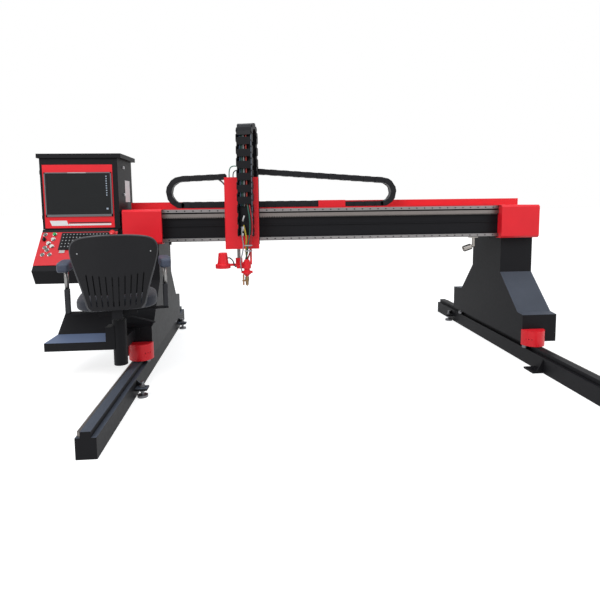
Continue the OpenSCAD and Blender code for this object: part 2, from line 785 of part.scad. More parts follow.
// Folded front cover of the carriage, open at the back, with a slot for the shaft underneath
module carriage_cover() {
    t = 2.5;
    half = hood_w / 2;
    fold = 6;
    color(red) difference() {
        translate([0, 0, hood_z]) linear_extrude(hood_h) polygon([
            [carriage_x - half, plate_front], [carriage_x - half, hood_front + fold],
            [carriage_x - half + fold, hood_front], [carriage_x + half - fold, hood_front],
            [carriage_x + half, hood_front + fold], [carriage_x + half, plate_front]]);
        block([carriage_x - half + t, hood_front + t + 1, hood_z + t],
              [carriage_x + half - t, plate_front + over, hood_top - t]);
        block([shaft_x - 30, shaft_y - 30, hood_z - over], [shaft_x + 30, plate_front + over, hood_z + t + over]);
    }
}

// Travel motor on the plate and lift motor over the screw, both behind the cover
module carriage_motors() {
    half = carriage_motor_w / 2;
    gear_l = 44;
    lift_half = 30;
    color(rubber) {
        difference() {
            union() {
                translate([carriage_pinion_x, 0, carriage_pinion_z]) {
                    block([-half, plate_front - gear_l, -half - 12], [half, plate_front, half + 12]);
                    block([-half + 4, hood_front + 8, -half + 4], [half - 4, plate_front - gear_l, half - 4]);
                }
            }
            rod_y(plate_front - 30, plate_front + over, carriage_pinion_x, carriage_pinion_z, drive_shaft_d + 2 * run_gap);
        }
        difference() {
            block([shaft_x - lift_half, screw_y - lift_half + 4, screw_high + bush_t],
                  [shaft_x + lift_half, plate_front, hood_top - 8]);
            translate([shaft_x, screw_y, screw_high]) cylinder(d = journal_d + 2 * run_gap, h = bush_t + 14);
        }
    }
}

module carriage_pinion() {
    odd = rack_count(guide_len) % 2;
    phase = carriage_pinion_x / tooth_pitch - (odd == 1 ? 0 : 0.5);
    turn = (phase - floor(phase)) * 360 / carriage_teeth;
    color(steel) {
        translate([carriage_pinion_x, guide_front + 14, carriage_pinion_z]) rotate([90, 0, 0])
            linear_extrude(12) polygon(pinion_outline(carriage_teeth, 90 + turn));
        rod_y(plate_front - 28, guide_front + 3, carriage_pinion_x, carriage_pinion_z, drive_shaft_d);
    }
}

// Lift screw between its two bearings
module lift_screw() {
    color(chrome) translate([shaft_x, screw_y, 0]) {
        translate([0, 0, screw_low + rest_gap]) cylinder(d = screw_d, h = screw_high - screw_low - 2 * rest_gap);
        translate([0, 0, screw_low - bush_t]) cylinder(d = journal_d, h = bush_t + rest_gap);
        translate([0, 0, screw_high - rest_gap]) cylinder(d = journal_d, h = bush_t + 10 + rest_gap);
    }
}

// Two small leads that loop from the cover's top into the lift chain's left face
function chain_face_x(y) =
    let (half = lift_chain_w / 2, t = (y - lift_back[1] + half * sin(lift_turn)) / cos(lift_turn))
    lift_back[0] - half * cos(lift_turn) - t * sin(lift_turn);
module carriage_cables() {
    green_y = lift_back[1] - 1;
    black_y = lift_back[1] + 13;
    touch = 1;
    green_loop = [[-88, 0.3], [-88, 20], [-87, 45], [-82, 66], [-72, 79], [-56, 85], [-34, 84], [-14, 81]];
    black_loop = [[-60, 0.3], [-61, 16], [-59, 32], [-52, 46], [-40, 54], [-20, 58], [-6, 58]];
    color(rubber) {
        tube(concat([for (p = green_loop) [carriage_x + p[0], green_y, hood_top + p[1]]],
                    [[chain_face_x(green_y) - touch, green_y, hood_top + 81]]), 8);
        tube(concat([for (p = black_loop) [carriage_x + p[0], black_y, hood_top + p[1]]],
                    [[chain_face_x(black_y) - touch, black_y, hood_top + 58]]), 7);
    }
}

// Drag chains on the beam: fixed lower runs, loops that travel at half speed, upper runs on the carriage
notch = 3;
link_gap = 8;
bend_links = 8;
run_join = 0.4;
up = [0, 1];
down = [0, -1];
left_low_end = [left_bend_x, chain_low];
right_low_end = [right_bend_x, chain_low];
left_arm_end = [carriage_x - carriage_w / 2, chain_high];
right_arm_end = [carriage_x + carriage_w / 2, chain_high + right_rise];
module chain_run(from, to, face) {
    along_y(chain_y, chain_y + chain_w)
        polygon(chain_outline(straight_links(from, to, chain_pitch), chain_h, [face, face]));
}
module chain_bend(x, a0, a1, face) {
    along_y(chain_y, chain_y + chain_w)
        polygon(chain_outline(arc_links([x, chain_low + chain_r], chain_r, a0, a1, bend_links), chain_h, [face, -face]));
}

module chain_lower_runs() {
    color(rubber) {
        chain_run([anchor_x - anchor_w / 2, chain_low], left_low_end + [run_join, 0], down);
        chain_run([anchor_x + anchor_w / 2, chain_low], right_low_end - [run_join, 0], up);
    }
}

module chain_bends() {
    color(rubber) {
        chain_bend(left_bend_x, 270, 90, down);
        chain_bend(right_bend_x, -90, 90, up);
    }
}

module chain_upper_runs() {
    color(rubber) {
        chain_run([left_bend_x + run_join, chain_high], left_arm_end, up);
        chain_run([right_bend_x - run_join, chain_high], right_arm_end, down);
    }
}

// Lift chain: up from the cover's top, over, and down in front of the cover
module lift_chain() {
    arch_c = [(lift_front_y + lift_back_y) / 2, lift_bend_z];
    links = concat(straight_links([lift_back_y, hood_top], [lift_back_y, lift_bend_z], chain_pitch),
                   arc_links(arch_c, lift_chain_r, 180 / 6, 180 - 180 / 6, 4),
                   straight_links([lift_front_y, lift_bend_z], [lift_front_y, lift_low], chain_pitch));
    color(rubber) translate([lift_x, lift_front_y, 0]) rotate([0, 0, lift_turn]) translate([0, -lift_front_y, 0])
        along_x(-lift_chain_w / 2, lift_chain_w / 2)
            polygon(chain_outline(links, lift_chain_h, [[-1, 0], [1, 0]]));
}

// Torch slide: shaft, the nut on the screw and the strap that carries the chain's lower end
nut_z = hood_z + 225;
shaft_low = hood_z - 95;
module torch_slide() {
    color(steel) {
        translate([shaft_x, shaft_y, shaft_low]) cylinder(d = shaft_d, h = nut_z + 20 - shaft_low);
        difference() {
            block([shaft_x - 26, screw_y - 16, nut_z], [shaft_x + 26, shaft_y + 16, nut_z + 40]);
            translate([shaft_x, screw_y, nut_z - over]) cylinder(d = screw_d + 2 * run_gap, h = 40 + 2 * over);
        }
    }
}

// Red clamp: boss on the shaft, arm to the torch, strap up to the chain
clamp_z = shaft_low - 40;
clamp_h = 64;
clamp_arm_h = 26;
clamp_ring_h = 46;
module torch_clamp() {
    boss_d = shaft_d + 26;
    ear = 14;
    color(red) {
        difference() {
            union() {
                translate([shaft_x, shaft_y, clamp_z]) cylinder(d = boss_d, h = clamp_h);
                block([shaft_x - ear, torch_y - 8, clamp_z], [torch_x, shaft_y, clamp_z + clamp_arm_h]);
                translate([torch_x, torch_y, clamp_z]) cylinder(d = torch_d + 18, h = clamp_ring_h);
                rod_y(torch_y - 14, torch_y - 8, shaft_x, clamp_z + clamp_arm_h / 2, 14);
            }
            translate([shaft_x, shaft_y, shaft_low]) cylinder(d = shaft_d + 2 * run_gap, h = clamp_h);
            translate([torch_x, torch_y, clamp_z - over]) cylinder(d = torch_d + 2 * run_gap, h = clamp_h + 2 * over);
        }
        block([lift_x + 24, lift_front_y + 6, clamp_z + clamp_arm_h], [lift_x + 38, lift_front_y + 12, lift_low - rest_gap]);
    }
}

// Torch barrel with its collar and side knobs
torch_top = clamp_z + clamp_h - 8;
torch_low = torch_top - torch_len;
module torch_body() {
    knob_d = 18;
    color(red) translate([torch_x, torch_y, 0]) {
        rotate_extrude() polygon([
            [0, torch_low], [torch_d / 2 - 8, torch_low], [torch_d / 2, torch_low + 14],
            [collar_d / 2 - 4, torch_low + 14], [collar_d / 2, torch_low + 22], [collar_d / 2, torch_low + 36],
            [torch_d / 2, torch_low + 42], [torch_d / 2, torch_top], [torch_d / 2 - 8, torch_top + 8], [0, torch_top + 8]]);
        rod_x(-collar_d / 2 - 10, collar_d / 2 + 10, 0, torch_low + 29, knob_d);
    }
}

// Brass cutting tip and igniter tube
module torch_tips() {
    color(brass) translate([torch_x, torch_y, 0]) {
        rotate_extrude() polygon([[0, torch_low], [9, torch_low], [9, torch_low - 30], [7, torch_low - 34],
                                  [7, torch_low - 62], [4, torch_low - 70], [0, torch_low - 70]]);
        translate([-25, -9.5, torch_low - 62]) cylinder(d = 12, h = 62 + 14);
    }
}

// Gas and control hoses from the lift chain's open end to the torch
hose_routes = [
    [[18, -14, -0.4], [18, -14, -8], [20, -15, -26], [22, -17, -60], [22, -19, -98], [17, -18, -136],
     [9, -13, -166], [5, -8, -188], [5, -8, -196]],
    [[2, -14, -0.4], [2, -14, -8], [4, -16, -26], [9, -19, -60], [10, -20, -98], [5, -19, -136],
     [-2, -14, -166], [-7, -8, -188], [-7, -8, -196]],
    [[-16, -14, -0.4], [-16, -14, -8], [-15, -13, -26], [-12, -10, -64], [-8, -7, -100], [-8, -5, -136],
     [-4, 0, -166], [4, 5, -188], [4, 5, -196]]];
module torch_hoses() {
    top = [lift_x, lift_front_y, lift_low];
    fall = (lift_low - torch_top - 8) / 196.4;
    shift = [torch_x - lift_x, torch_y - lift_front_y - 10];
    color(rubber) for (route = hose_routes)
        tube([for (p = route)
            let (s = min(1, -p[2] / 188))
            [top[0] + p[0] + s * shift[0], top[1] + p[1] + 14 + s * shift[1], top[2] + p[2] * fall]], hose_d);
}

// Sensor lamp: cone on a flange, on the clamp's left
lamp_x = shaft_x - 109;
lamp_y = hood_front - 36;
lamp_z = clamp_z + 6;
module sensor_lamp() {
    cone_d = 62;
    color(red) {
        translate([lamp_x, lamp_y, 0]) rotate_extrude() polygon([
            [0, lamp_z + 6], [lamp_d / 2 - 8, lamp_z + 6], [lamp_d / 2 - 8, lamp_z], [lamp_d / 2, lamp_z],
            [lamp_d / 2, lamp_z + 26], [lamp_d / 2 - 4, lamp_z + 30], [cone_d / 2 + 8, lamp_z + 30],
            [cone_d / 2 + 2, lamp_z + 84], [cone_d / 2, lamp_z + 104], [cone_d / 2 - 3, lamp_z + 108], [0, lamp_z + 108]]);
        block([lamp_x + cone_d / 2, lamp_y - 8, lamp_z + 14], [shaft_x - 14, lamp_y + 8, lamp_z + 30]);
    }
}

// Console cabinet with its roof, hinge leaves and side latches
hinge_rows = [cabinet_z + 46, cabinet_top - 138];
hinge_h = 54;
hinge_d = 12;
lock_y = cabinet_front + 92;
pin_d = 5;
module hinge_half(z0, z1) {
    translate([hinge_x, hinge_y, z0]) cylinder(d = hinge_d, h = z1 - z0);
}
module console_cabinet() {
    t = 2;
    back = cabinet_front + cabinet_d;
    color(black) {
        difference() {
            union() {
                block([cabinet_left, cabinet_front + rest_gap, cabinet_z], [cabinet_right, back, cabinet_top]);
                for (z = hinge_rows) {
                    block([hinge_x, cabinet_front + rest_gap, z], [cabinet_left, cabinet_front + 30, z + hinge_h / 2]);
                    hinge_half(z, z + hinge_h / 2);
                }
            }
            block([cabinet_left + t, cabinet_front - over, cabinet_z + t], [cabinet_right - t, back - t, cabinet_top - t]);
        }
        for (z = hinge_rows)
            translate([hinge_x, hinge_y, z + hinge_h / 2]) cylinder(d = pin_d, h = hinge_h / 2 - 4);
        block([cabinet_left - roof_lip, door_front - roof_lip, cabinet_top],
              [cabinet_right + roof_reach, back + roof_lip, cabinet_top + roof_t]);
        for (z = [cabinet_top - 66, cabinet_z + cabinet_h * 0.47]) {
            block([cabinet_right, lock_y - 10, z], [cabinet_right + 5, lock_y + 30, z + 18]);
            rod_x(cabinet_right + 5, cabinet_right + 9.5, lock_y, z + 9, 14);
        }
    }
}

// Door: a shallow sheet box with a window for the monitor
module console_door() {
    t = 2.5;
    lap = 5;
    low = cabinet_z + 2;
    high = cabinet_top - rest_gap;
    color(black) {
        difference() {
            block([cabinet_left, door_front, low], [cabinet_right, cabinet_front - rest_gap, high]);
            block([cabinet_left + t, door_front + t, low + t], [cabinet_right - t, cabinet_front + over, high - t]);
            block([fascia_x[0] + lap, door_front - over, fascia_z[0] + lap],
                  [fascia_x[1] - lap, door_front + t + over, fascia_z[1] - lap]);
        }
        for (z = hinge_rows) difference() {
            union() {
                block([hinge_x, cabinet_front - 30, z + hinge_h / 2 + rest_gap], [cabinet_left, cabinet_front - rest_gap, z + hinge_h]);
                hinge_half(z + hinge_h / 2 + rest_gap, z + hinge_h);
            }
            translate([hinge_x, hinge_y, z]) cylinder(d = pin_d + 2 * run_gap, h = hinge_h + over);
        }
    }
}

// Red front plate round the monitor
fascia_t = 3;
module console_fascia() {
    color(red) difference() {
        block([fascia_x[0], door_front - fascia_t, fascia_z[0]], [fascia_x[1], door_front, fascia_z[1]]);
        block([monitor_x - monitor_w / 2, door_front - fascia_t - over, monitor_z],
              [monitor_x + monitor_w / 2, door_front + over, monitor_z + monitor_h]);
    }
}

// Monitor: bezel, sunk screen and a bowed back
module monitor() {
    side = 20;
    chin = 44;
    proud = 8;
    half = monitor_w / 2;
    color(rubber) translate([monitor_x, 0, monitor_z]) {
        difference() {
            block([-half, door_front - proud, 0], [half, door_front + 16, monitor_h]);
            block([-half + side, door_front - proud - over, chin], [half - side, door_front - proud + 3, monitor_h - 12]);
        }
        along_x(-half + 40, half - 40) polygon([[door_front + 16, 20], [door_front + 16, monitor_h - 30],
            [door_front + 34, monitor_h - 60], [door_front + 42, monitor_h / 2], [door_front + 34, 50]]);
    }
}

// Desk under the cabinet, bolted to the leg's outer face
desk_outline = [panel_low, [-272, 748], [-226, 653], [190, 653], [190, cabinet_z], [-66, cabinet_z], panel_top];
module desk() {
    pad = [30, 670, 180, leg_top - 15];
    color(black) {
        difference() {
            along_x(desk_left, desk_right) polygon(desk_outline);
            for (p = concat(button_places, [start_place, knob_place, stop_place]))
                on_panel(p[0], p[1]) translate([0, 0, -14]) cylinder(d = stem_d + 2, h = 14 + over);
        }
        block([desk_right, pad[0], pad[1]], [-leg_out, pad[2], pad[3]]);
    }
}

// Places on the sloping panel: x from its left edge, up from its lower edge
module on_panel(x, up) {
    translate([desk_left + x, panel_low[0], panel_low[1]]) rotate([panel_tilt, 0, 0])
        translate([0, up, 0]) children();
}

stem_d = 12;
panel_w = desk_right - desk_left;
button_places = [[91, 209], [66, 176], [93, 151]];
lamp_places = [[48, 142], [66, 122], [44, 84], [91, 84]];
start_place = [93, 250];
knob_place = [30, 209];
spare_place = [28, 250];
stop_place = [panel_w - 30, 248];
port_place = [150, 94];

module desk_panel() {
    ring_d = button_d + 6;
    ring_h = 3;
    color(red) difference() {
        union() {
            on_panel(0, 0) cube([panel_w, panel_len, panel_t]);
            for (p = concat(button_places, [start_place])) on_panel(p[0], p[1]) translate([0, 0, panel_t]) cylinder(d = ring_d, h = ring_h);
            for (p = concat(lamp_places, [spare_place])) on_panel(p[0], p[1]) translate([0, 0, panel_t]) {
                cylinder(d = ring_d, h = ring_h);
                cylinder(d = button_d, h = 8);
            }
            on_panel(port_place[0], port_place[1]) translate([0, 0, panel_t]) cube([38, 24, 3]);
        }
        for (p = concat(button_places, [start_place, knob_place, stop_place])) on_panel(p[0], p[1])
            translate([0, 0, -over]) cylinder(d = stem_d + 2 * run_gap, h = panel_t + ring_h + 2 * over);
    }
}

// Keyboard with five rows of keys
key_rows = 5;
key_cols = 14;
module keyboard() {
    w = panel_w - 190;
    d = 140;
    cell = [(w - 16) / key_cols, (d - 14) / key_rows];
    color(rubber) on_panel(142, 120) translate([0, 0, panel_t]) {
        cube([w, d, 9]);
        for (i = [0 : key_cols - 1], j = [0 : key_rows - 1])
            translate([8 + i * cell[0] + 2, 7 + j * cell[1] + 2, 9]) cube([cell[0] - 4, cell[1] - 4, 5]);
    }
}

// Push button: cap over its ring, stem through the panel
module push_button(place, tint) {
    ring_h = 3;
    color(tint) on_panel(place[0], place[1]) translate([0, 0, 0.5]) {
        cylinder(d = stem_d, h = panel_t + ring_h + button_travel);
        translate([0, 0, panel_t + ring_h + button_travel]) cylinder(d = button_d, h = 6);
    }
}

module mode_knob() {
    color(rubber) on_panel(knob_place[0], knob_place[1]) {
        translate([0, 0, 0.5]) cylinder(d = stem_d, h = panel_t + 4);
        translate([0, 0, panel_t + rest_gap]) cylinder(d = 26, h = 8);
        translate([-5, -13, panel_t + 8]) cube([10, 26, 11]);
    }
}

module emergency_stop() {
    reach = 14;
    color(red) on_panel(stop_place[0], stop_place[1]) {
        translate([0, 0, 0.5]) cylinder(d = stem_d, h = panel_t + reach);
        translate([0, 0, panel_t + reach]) rotate_extrude() polygon([
            [0, 0], [10, 0], [18, 3], [20, 7], [18, 12], [10, 15], [0, 16]]);
    }
}

// Folded footrest on two arms from the leg
tread_rise = [163, 129];
module footrest() {
    t = 4;
    lip = 57;
    back = footrest_front + tread_d;
    left = -leg_out - footrest_w;
    arm = [34, 40];
    color(black) {
        along_x(left, -leg_out) polygon([
            [footrest_front, tread_z - lip], [footrest_front + t, tread_z - lip], [footrest_front + t, tread_z - t],
            [back + t * 0.5, tread_z - t], [back + tread_rise[0] + t * 0.6, tread_z + tread_rise[1] - t * 0.8],
            [back + tread_rise[0], tread_z + tread_rise[1]], [back, tread_z], [footrest_front, tread_z]]);
        for (y = [footrest_front + 30, back - 70])
            block([left + 40, y, tread_z - t - arm[1]], [-leg_out, y + arm[0], tread_z - t]);
    }
}

// Seat post on an arm from the leg's foot
post_low = 180;
module seat_post() {
    arm_z0 = ledge_z - 84;
    arm_h = 74;
    color(black) difference() {
        union() {
            translate([seat_x, seat_y, post_low]) cylinder(d = post_d, h = post_top - post_low);
            block([seat_x - 40, seat_y, arm_z0], [seat_x + 40, foot_front, arm_z0 + arm_h]);
            block([seat_x - post_d / 2 - 34, seat_y - 40, arm_z0 + 8], [seat_x - 20, seat_y + 40, arm_z0 + 150]);
            block([seat_x - 70, foot_front - 10, arm_z0 - 12], [seat_x + 70, foot_front, arm_z0 + arm_h + 2]);
        }
        translate([seat_x, seat_y, post_low + 20]) cylinder(d = rod_d + 2 * run_gap, h = post_top - post_low);
    }
}

// Gas lift rod
rod_low = post_low + 70;
hub_top = seat_z + seat_plate_t - 6;
module seat_lift() {
    color(chrome) translate([seat_x, seat_y, rod_low]) cylinder(d = rod_d, h = hub_top - 2 - rod_low);
}

// The seat's own frame: its middle is the post's axis, and it is turned on it
module on_seat() {
    translate([seat_x, seat_y, 0]) rotate([0, 0, seat_turn]) children();
}

// Seat mechanism: hub, plate, side bars to the arms, the bar to the back and ears for the lever
arm_x = 287;
seat_plate = [220, 240];
bar_t = 10;
back_pad = 14;
lever_at = [60, -70];
lever_z = seat_z - 15;
lever_hub_w = 12;
lever_pin_d = 8;
module seat_frame() {
    hub_d = rod_d + 34;
    rear = back_y + back_pad;
    ear_in = lever_hub_w / 2 + rest_gap;
    color(black) on_seat() {
        difference() {
            union() {
                block([-seat_plate[0] / 2, -seat_plate[1] / 2, seat_z], [seat_plate[0] / 2, seat_plate[1] / 2, seat_z + seat_plate_t]);
                translate([0, 0, seat_z - 14]) cylinder(d = hub_d, h = 14);
                block([-arm_x - 15, -20, seat_z], [arm_x + 15, 20, seat_z + bar_t]);
                block([-30, rear + 12, seat_z], [30, 0, seat_z + bar_t]);
                block([-30, rear, seat_z], [30, rear + 12, back_z + 150]);
            }
            translate([0, 0, seat_z - 14 - over]) cylinder(d = rod_d + 2 * run_gap, h = hub_top - seat_z + 14 + over);
        }
        for (s = [-1, 1])
            translate([lever_at[0], lever_at[1] + s * (ear_in + 3), 0])
                block([-10, -3, lever_z - 10], [10, 3, seat_z]);
        rod_y(lever_at[1] - ear_in - 6, lever_at[1] + ear_in + 6, lever_at[0], lever_z, lever_pin_d);
    }
}

// Height lever on its pin under the plate
module seat_lever() {
    tip = [155, -58];
    color(chrome) on_seat() translate([lever_at[0], lever_at[1], lever_z]) difference() {
        union() {
            rod_y(-lever_hub_w / 2, lever_hub_w / 2, 0, 0, 20);
            rotate([0, atan2(-tip[1], tip[0]), 0]) block([0, -4, -4], [norm(tip), 4, 4]);
        }
        rod_y(-lever_hub_w, lever_hub_w, 0, 0, lever_pin_d + 2 * run_gap);
    }
}

// Cushion block with rounded corners
module seat_cushion() {
    r = 60;
    half = [cushion_w / 2, cushion_d / 2];
    color(grey_blue) on_seat() translate([0, 40, cushion_z]) linear_extrude(cushion_t) {
        square([2 * half[0] - 2 * r, 2 * half[1]], center = true);
        square([2 * half[0], 2 * half[1] - 2 * r], center = true);
        for (x = [-1, 1], y = [-1, 1]) translate([x * (half[0] - r), y * (half[1] - r)]) circle(r = r);
    }
}

// Back shell: part of a cylinder, cut to its outline and slotted; the side is in shares of half width and height
slot_count = 10;
slot_w = 7;
slot_fan = [30, 35];
back_side = [[0.574, 0], [0.648, 0.046], [0.697, 0.138], [0.758, 0.276], [0.832, 0.414], [0.910, 0.552],
             [0.967, 0.667], [0.996, 0.759], [1, 0.816], [0.975, 0.874], [0.918, 0.920], [0.820, 0.954],
             [0.676, 0.977], [0.451, 0.993], [0.205, 1]];
module seat_back() {
    right = [for (q = back_side) [q[0] * back_w / 2, q[1] * back_h]];
    shape = concat(right, reversed([for (q = right) [-q[0], q[1]]]));
    slot_low = back_h * 0.05;
    slot_high = back_h * 0.44;
    color(rubber) on_seat() translate([0, 0, back_z]) {
        difference() {
            intersection() {
                translate([0, back_y + back_curve, 0]) difference() {
                    cylinder(r = back_curve, h = back_h, $fn = 180);
                    translate([0, 0, -over]) cylinder(r = back_curve - back_t, h = back_h + 2 * over, $fn = 180);
                }
                along_y(back_y - 20, back_y + 200) polygon(shape);
            }
            for (i = [0 : slot_count - 1])
                let (k = i - (slot_count - 1) / 2, high = slot_high + 4 * abs(k))
                along_y(back_y - over, back_y + 100) polygon([
                    [k * slot_fan[0] - slot_w / 2, slot_low], [k * slot_fan[0] + slot_w / 2, slot_low],
                    [k * slot_fan[1] + slot_w / 2, high], [k * slot_fan[1] - slot_w / 2, high]]);
        }
        block([-40, back_y + back_t - 2, 50], [40, back_y + back_pad, 140]);
    }
}

// Armrests: sleeve, chrome tube and pad on each side
arm_rise = 300;
pad_z = seat_z + arm_rise;
module armrests() {
    tube_d = 26;
    sleeve = 150;
    color(black) on_seat() for (s = [-1, 1]) translate([s * arm_x, 0, 0]) {
        block([-15, -20, seat_z + bar_t], [15, 20, seat_z + bar_t + sleeve]);
        translate([0, 0, seat_z + bar_t + sleeve]) cylinder(d = tube_d, h = pad_z - seat_z - bar_t - sleeve);
        block([-36, -150, pad_z], [36, 110, pad_z + 34]);
    }
}

// Moves the gantry's frame so that the origin is midway across the whole machine
module placed() {
    translate([gantry_x, 0, 0]) children();
}

placed() left_rail();
placed() right_rail();
placed() track_racks();
placed() levelling_feet();
placed() left_leg();
placed() right_leg();
placed() trucks();
placed() nose_guards();
placed() guide_rollers();
placed() drive_motors();
placed() wheel(-1, front_wheel_y);  // left_front_wheel
placed() wheel(-1, rear_wheel_y);  // left_rear_wheel
placed() wheel(1, front_wheel_y);  // right_front_wheel
placed() wheel(1, rear_wheel_y);  // right_rear_wheel
placed() floor_pinion(-1);  // left_pinion
placed() floor_pinion(1);  // right_pinion
placed() beam();
placed() guide_rails();
placed() beam_rack();
placed() end_covers();
placed() chain_tray();
placed() side_lamp();
placed() carriage_plate();
placed() guide_blocks();
placed() carriage_cover();
placed() carriage_motors();
placed() carriage_pinion();
placed() lift_screw();
placed() carriage_cables();
placed() chain_lower_runs();
placed() chain_bends();
placed() chain_upper_runs();
placed() lift_chain();
placed() torch_slide();
placed() torch_clamp();
placed() torch_body();
placed() torch_tips();
placed() torch_hoses();
placed() sensor_lamp();
placed() console_cabinet();
placed() console_door();
placed() console_fascia();
placed() monitor();
placed() desk();
placed() desk_panel();
placed() keyboard();
placed() emergency_stop();
placed() mode_knob();
placed() push_button(start_place, "green");  // start_button
placed() push_button(button_places[0], chrome);  // push_button_1
placed() push_button(button_places[1], chrome);  // push_button_2
placed() push_button(button_places[2], chrome);  // push_button_3
placed() footrest();
placed() seat_post();
placed() seat_lift();
placed() seat_frame();
placed() seat_lever();
placed() seat_cushion();
placed() seat_back();
placed() armrests();
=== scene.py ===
"""Looks of the gantry torch cutting machine: finishes, drag chains, hoses, seat pads and stage."""

import math

import bmesh
import bpy
from mathutils import Matrix, Vector


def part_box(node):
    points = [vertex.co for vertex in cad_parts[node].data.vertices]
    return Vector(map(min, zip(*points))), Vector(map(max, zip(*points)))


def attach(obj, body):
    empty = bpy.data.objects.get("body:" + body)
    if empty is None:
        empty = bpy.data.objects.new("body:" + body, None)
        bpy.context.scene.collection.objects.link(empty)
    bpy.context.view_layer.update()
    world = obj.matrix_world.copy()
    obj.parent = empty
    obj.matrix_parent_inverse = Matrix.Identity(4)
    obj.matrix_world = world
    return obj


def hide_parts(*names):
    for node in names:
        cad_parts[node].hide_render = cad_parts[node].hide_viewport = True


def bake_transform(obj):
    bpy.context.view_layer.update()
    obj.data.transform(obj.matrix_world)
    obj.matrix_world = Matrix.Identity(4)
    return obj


bl_info = {
    "name": "Gantry cutting machine looks",
    "version": (1, 0, 0),
    "blender": (4, 5, 0),
    "location": "3D View > Sidebar > Cutting machine",
    "description": "Dresses the packed gantry cutting machine and sets its studio",
    "category": "Object",
}

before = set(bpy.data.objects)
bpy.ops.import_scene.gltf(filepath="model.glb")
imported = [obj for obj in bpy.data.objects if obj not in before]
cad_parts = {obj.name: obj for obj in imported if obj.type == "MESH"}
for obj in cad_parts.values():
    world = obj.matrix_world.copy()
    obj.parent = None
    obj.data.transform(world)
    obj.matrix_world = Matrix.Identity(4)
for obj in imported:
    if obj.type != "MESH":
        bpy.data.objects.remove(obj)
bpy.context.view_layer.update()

X, Y, UP = Vector((1, 0, 0)), Vector((0, 1, 0)), Vector((0, 0, 1))

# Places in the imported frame, in metres, that match the part's source
GANTRY_X = 0.2695
CARRIAGE_X = -0.690 + GANTRY_X
COVER_TOP = 1.368
CABINET_RIGHT = -1.559 + GANTRY_X
GUIDE_FRONT = -0.007

# Beam chains: front face, pin lines of the lower and upper runs, and where the loops begin.
# The left runs, the right loop and the lift chain's arch depart a little from the solids,
# to match the picture.
CHAIN_Y = 0.058
CHAIN_LOW = 1.1693
CHAIN_HIGH = 1.3793
LEFT_HIGH = CHAIN_HIGH - 0.008
LEFT_END = LEFT_HIGH + 0.014
LEFT_TALLER = 0.010
RIGHT_HIGH = 1.3513
RIGHT_END = CHAIN_HIGH + 0.042
LEFT_BEND = -1.131
RIGHT_BEND = 0.378
LOOP_LINKS = 8

# Lift chain: its front strand, the reach back to the other strand, and its turn about the upright
LIFT_X = -0.662 + GANTRY_X
LIFT_FRONT = -0.185
LIFT_REACH = 0.140
LIFT_WIDTH = 0.112
LIFT_HEIGHT = 0.040
LIFT_PITCH = 0.042
LIFT_LOW = 0.960
LIFT_BEND = 1.655
LIFT_TURN = math.radians(-15)
OPEN_LINKS = 5

# Links of every chain: plates and bars in metres, and as shares of the height the lap past the joints
# and the trim of the inner plates
PLATE = 0.005
BAR = 0.004
BAR_SINK = 0.002
BAR_INSET = 0.006
LINK_LAP = 0.45
INNER_TRIM = 0.05

# Radii of the leads and cords
LEAD_RADIUS = 0.006
CORD_RADIUS = 0.0038
LEAD_SHARE = 0.8

# Sloping panel of the desk: its low front edge, tilt, left edge and the thickness that the buttons stand on
PANEL_LOW = (-0.243, 0.781)
PANEL_TILT = math.atan2(0.994 - 0.781, 0.243 - 0.076)
PANEL_LEFT = -2.095 + GANTRY_X
PANEL_FACE = 0.004
RING_TOP = 0.0073
RING_OUTER = 0.0143

# Seat: its post, its turn, and the back as a sheet bent to a cylinder
SEAT = Vector((-1.460 + GANTRY_X, -0.530, 0.0))
SEAT_TURN = math.radians(14)
ARM_X = 0.287
BACK_CURVE = 0.420
BACK_CENTRE = 0.180
BACK_SIZE = (0.488, 0.435)
BACK_SIDE = ((0.574, 0.004), (0.648, 0.046), (0.697, 0.138), (0.758, 0.276), (0.832, 0.414), (0.910, 0.552),
             (0.967, 0.667), (0.996, 0.759), (1, 0.816), (0.975, 0.874), (0.918, 0.920), (0.820, 0.954),
             (0.676, 0.977), (0.451, 0.993), (0.205, 1))
WEB_OUTER, WEB_INNER = 0.4118, 0.4094

# Stage: rays that see the pale background, the world's light on the others, and the floor's dimming
SEEN_RAYS = ("Is Camera Ray", "Is Glossy Ray", "Is Transmission Ray")
WORLD_LIGHT = 0.30
FLOOR_DIM, FLOOR_FADE = 0.28, 40.0
EYE_FORWARD = Vector((0.07219, 0.99295, -0.09404)).normalized()
EYE_RIGHT = Vector((0.99721, -0.07367, -0.01235)).normalized()
EYE_SHIFT = (0.0167, -0.0867)
LAMPS = (  # name, place, target, size, power, colour
    ("key", (-3.2, -4.2, 4.6), (0, 0, 0.7), 3.2, 230, (1, 1, 1)),
    ("fill", (4.4, -3.2, 3.4), (0.8, 0, 0.7), 3.0, 100, (1, 1, 1)),
    ("top", (0.2, 0.4, 5.0), (0.2, 0.4, 0), 7.0, 190, (0.84, 0.92, 1.0)),
)

# Colour of the black leads
LEAD_BLACK = (0.014, 0.014, 0.016)


class Sock:
    """A shader socket whose arithmetic makes Math nodes."""

    def __init__(self, net, socket):
        self.net = net
        self.socket = socket

    def _math(self, operation, first, second):
        return self.net.node("ShaderNodeMath", {"operation": operation}, 0, {0: first, 1: second})

    def __add__(self, other):
        return self._math("ADD", self, other)

    def __radd__(self, other):
        return self._math("ADD", other, self)

    def __sub__(self, other):
        return self._math("SUBTRACT", self, other)

    def __rsub__(self, other):
        return self._math("SUBTRACT", other, self)

    def __mul__(self, other):
        return self._math("MULTIPLY", self, other)

    def __rmul__(self, other):
        return self._math("MULTIPLY", other, self)

    def __truediv__(self, other):
        return self._math("DIVIDE", self, other)

    def __rtruediv__(self, other):
        return self._math("DIVIDE", other, self)

    def above(self, edge):
        return self._math("GREATER_THAN", self, edge)


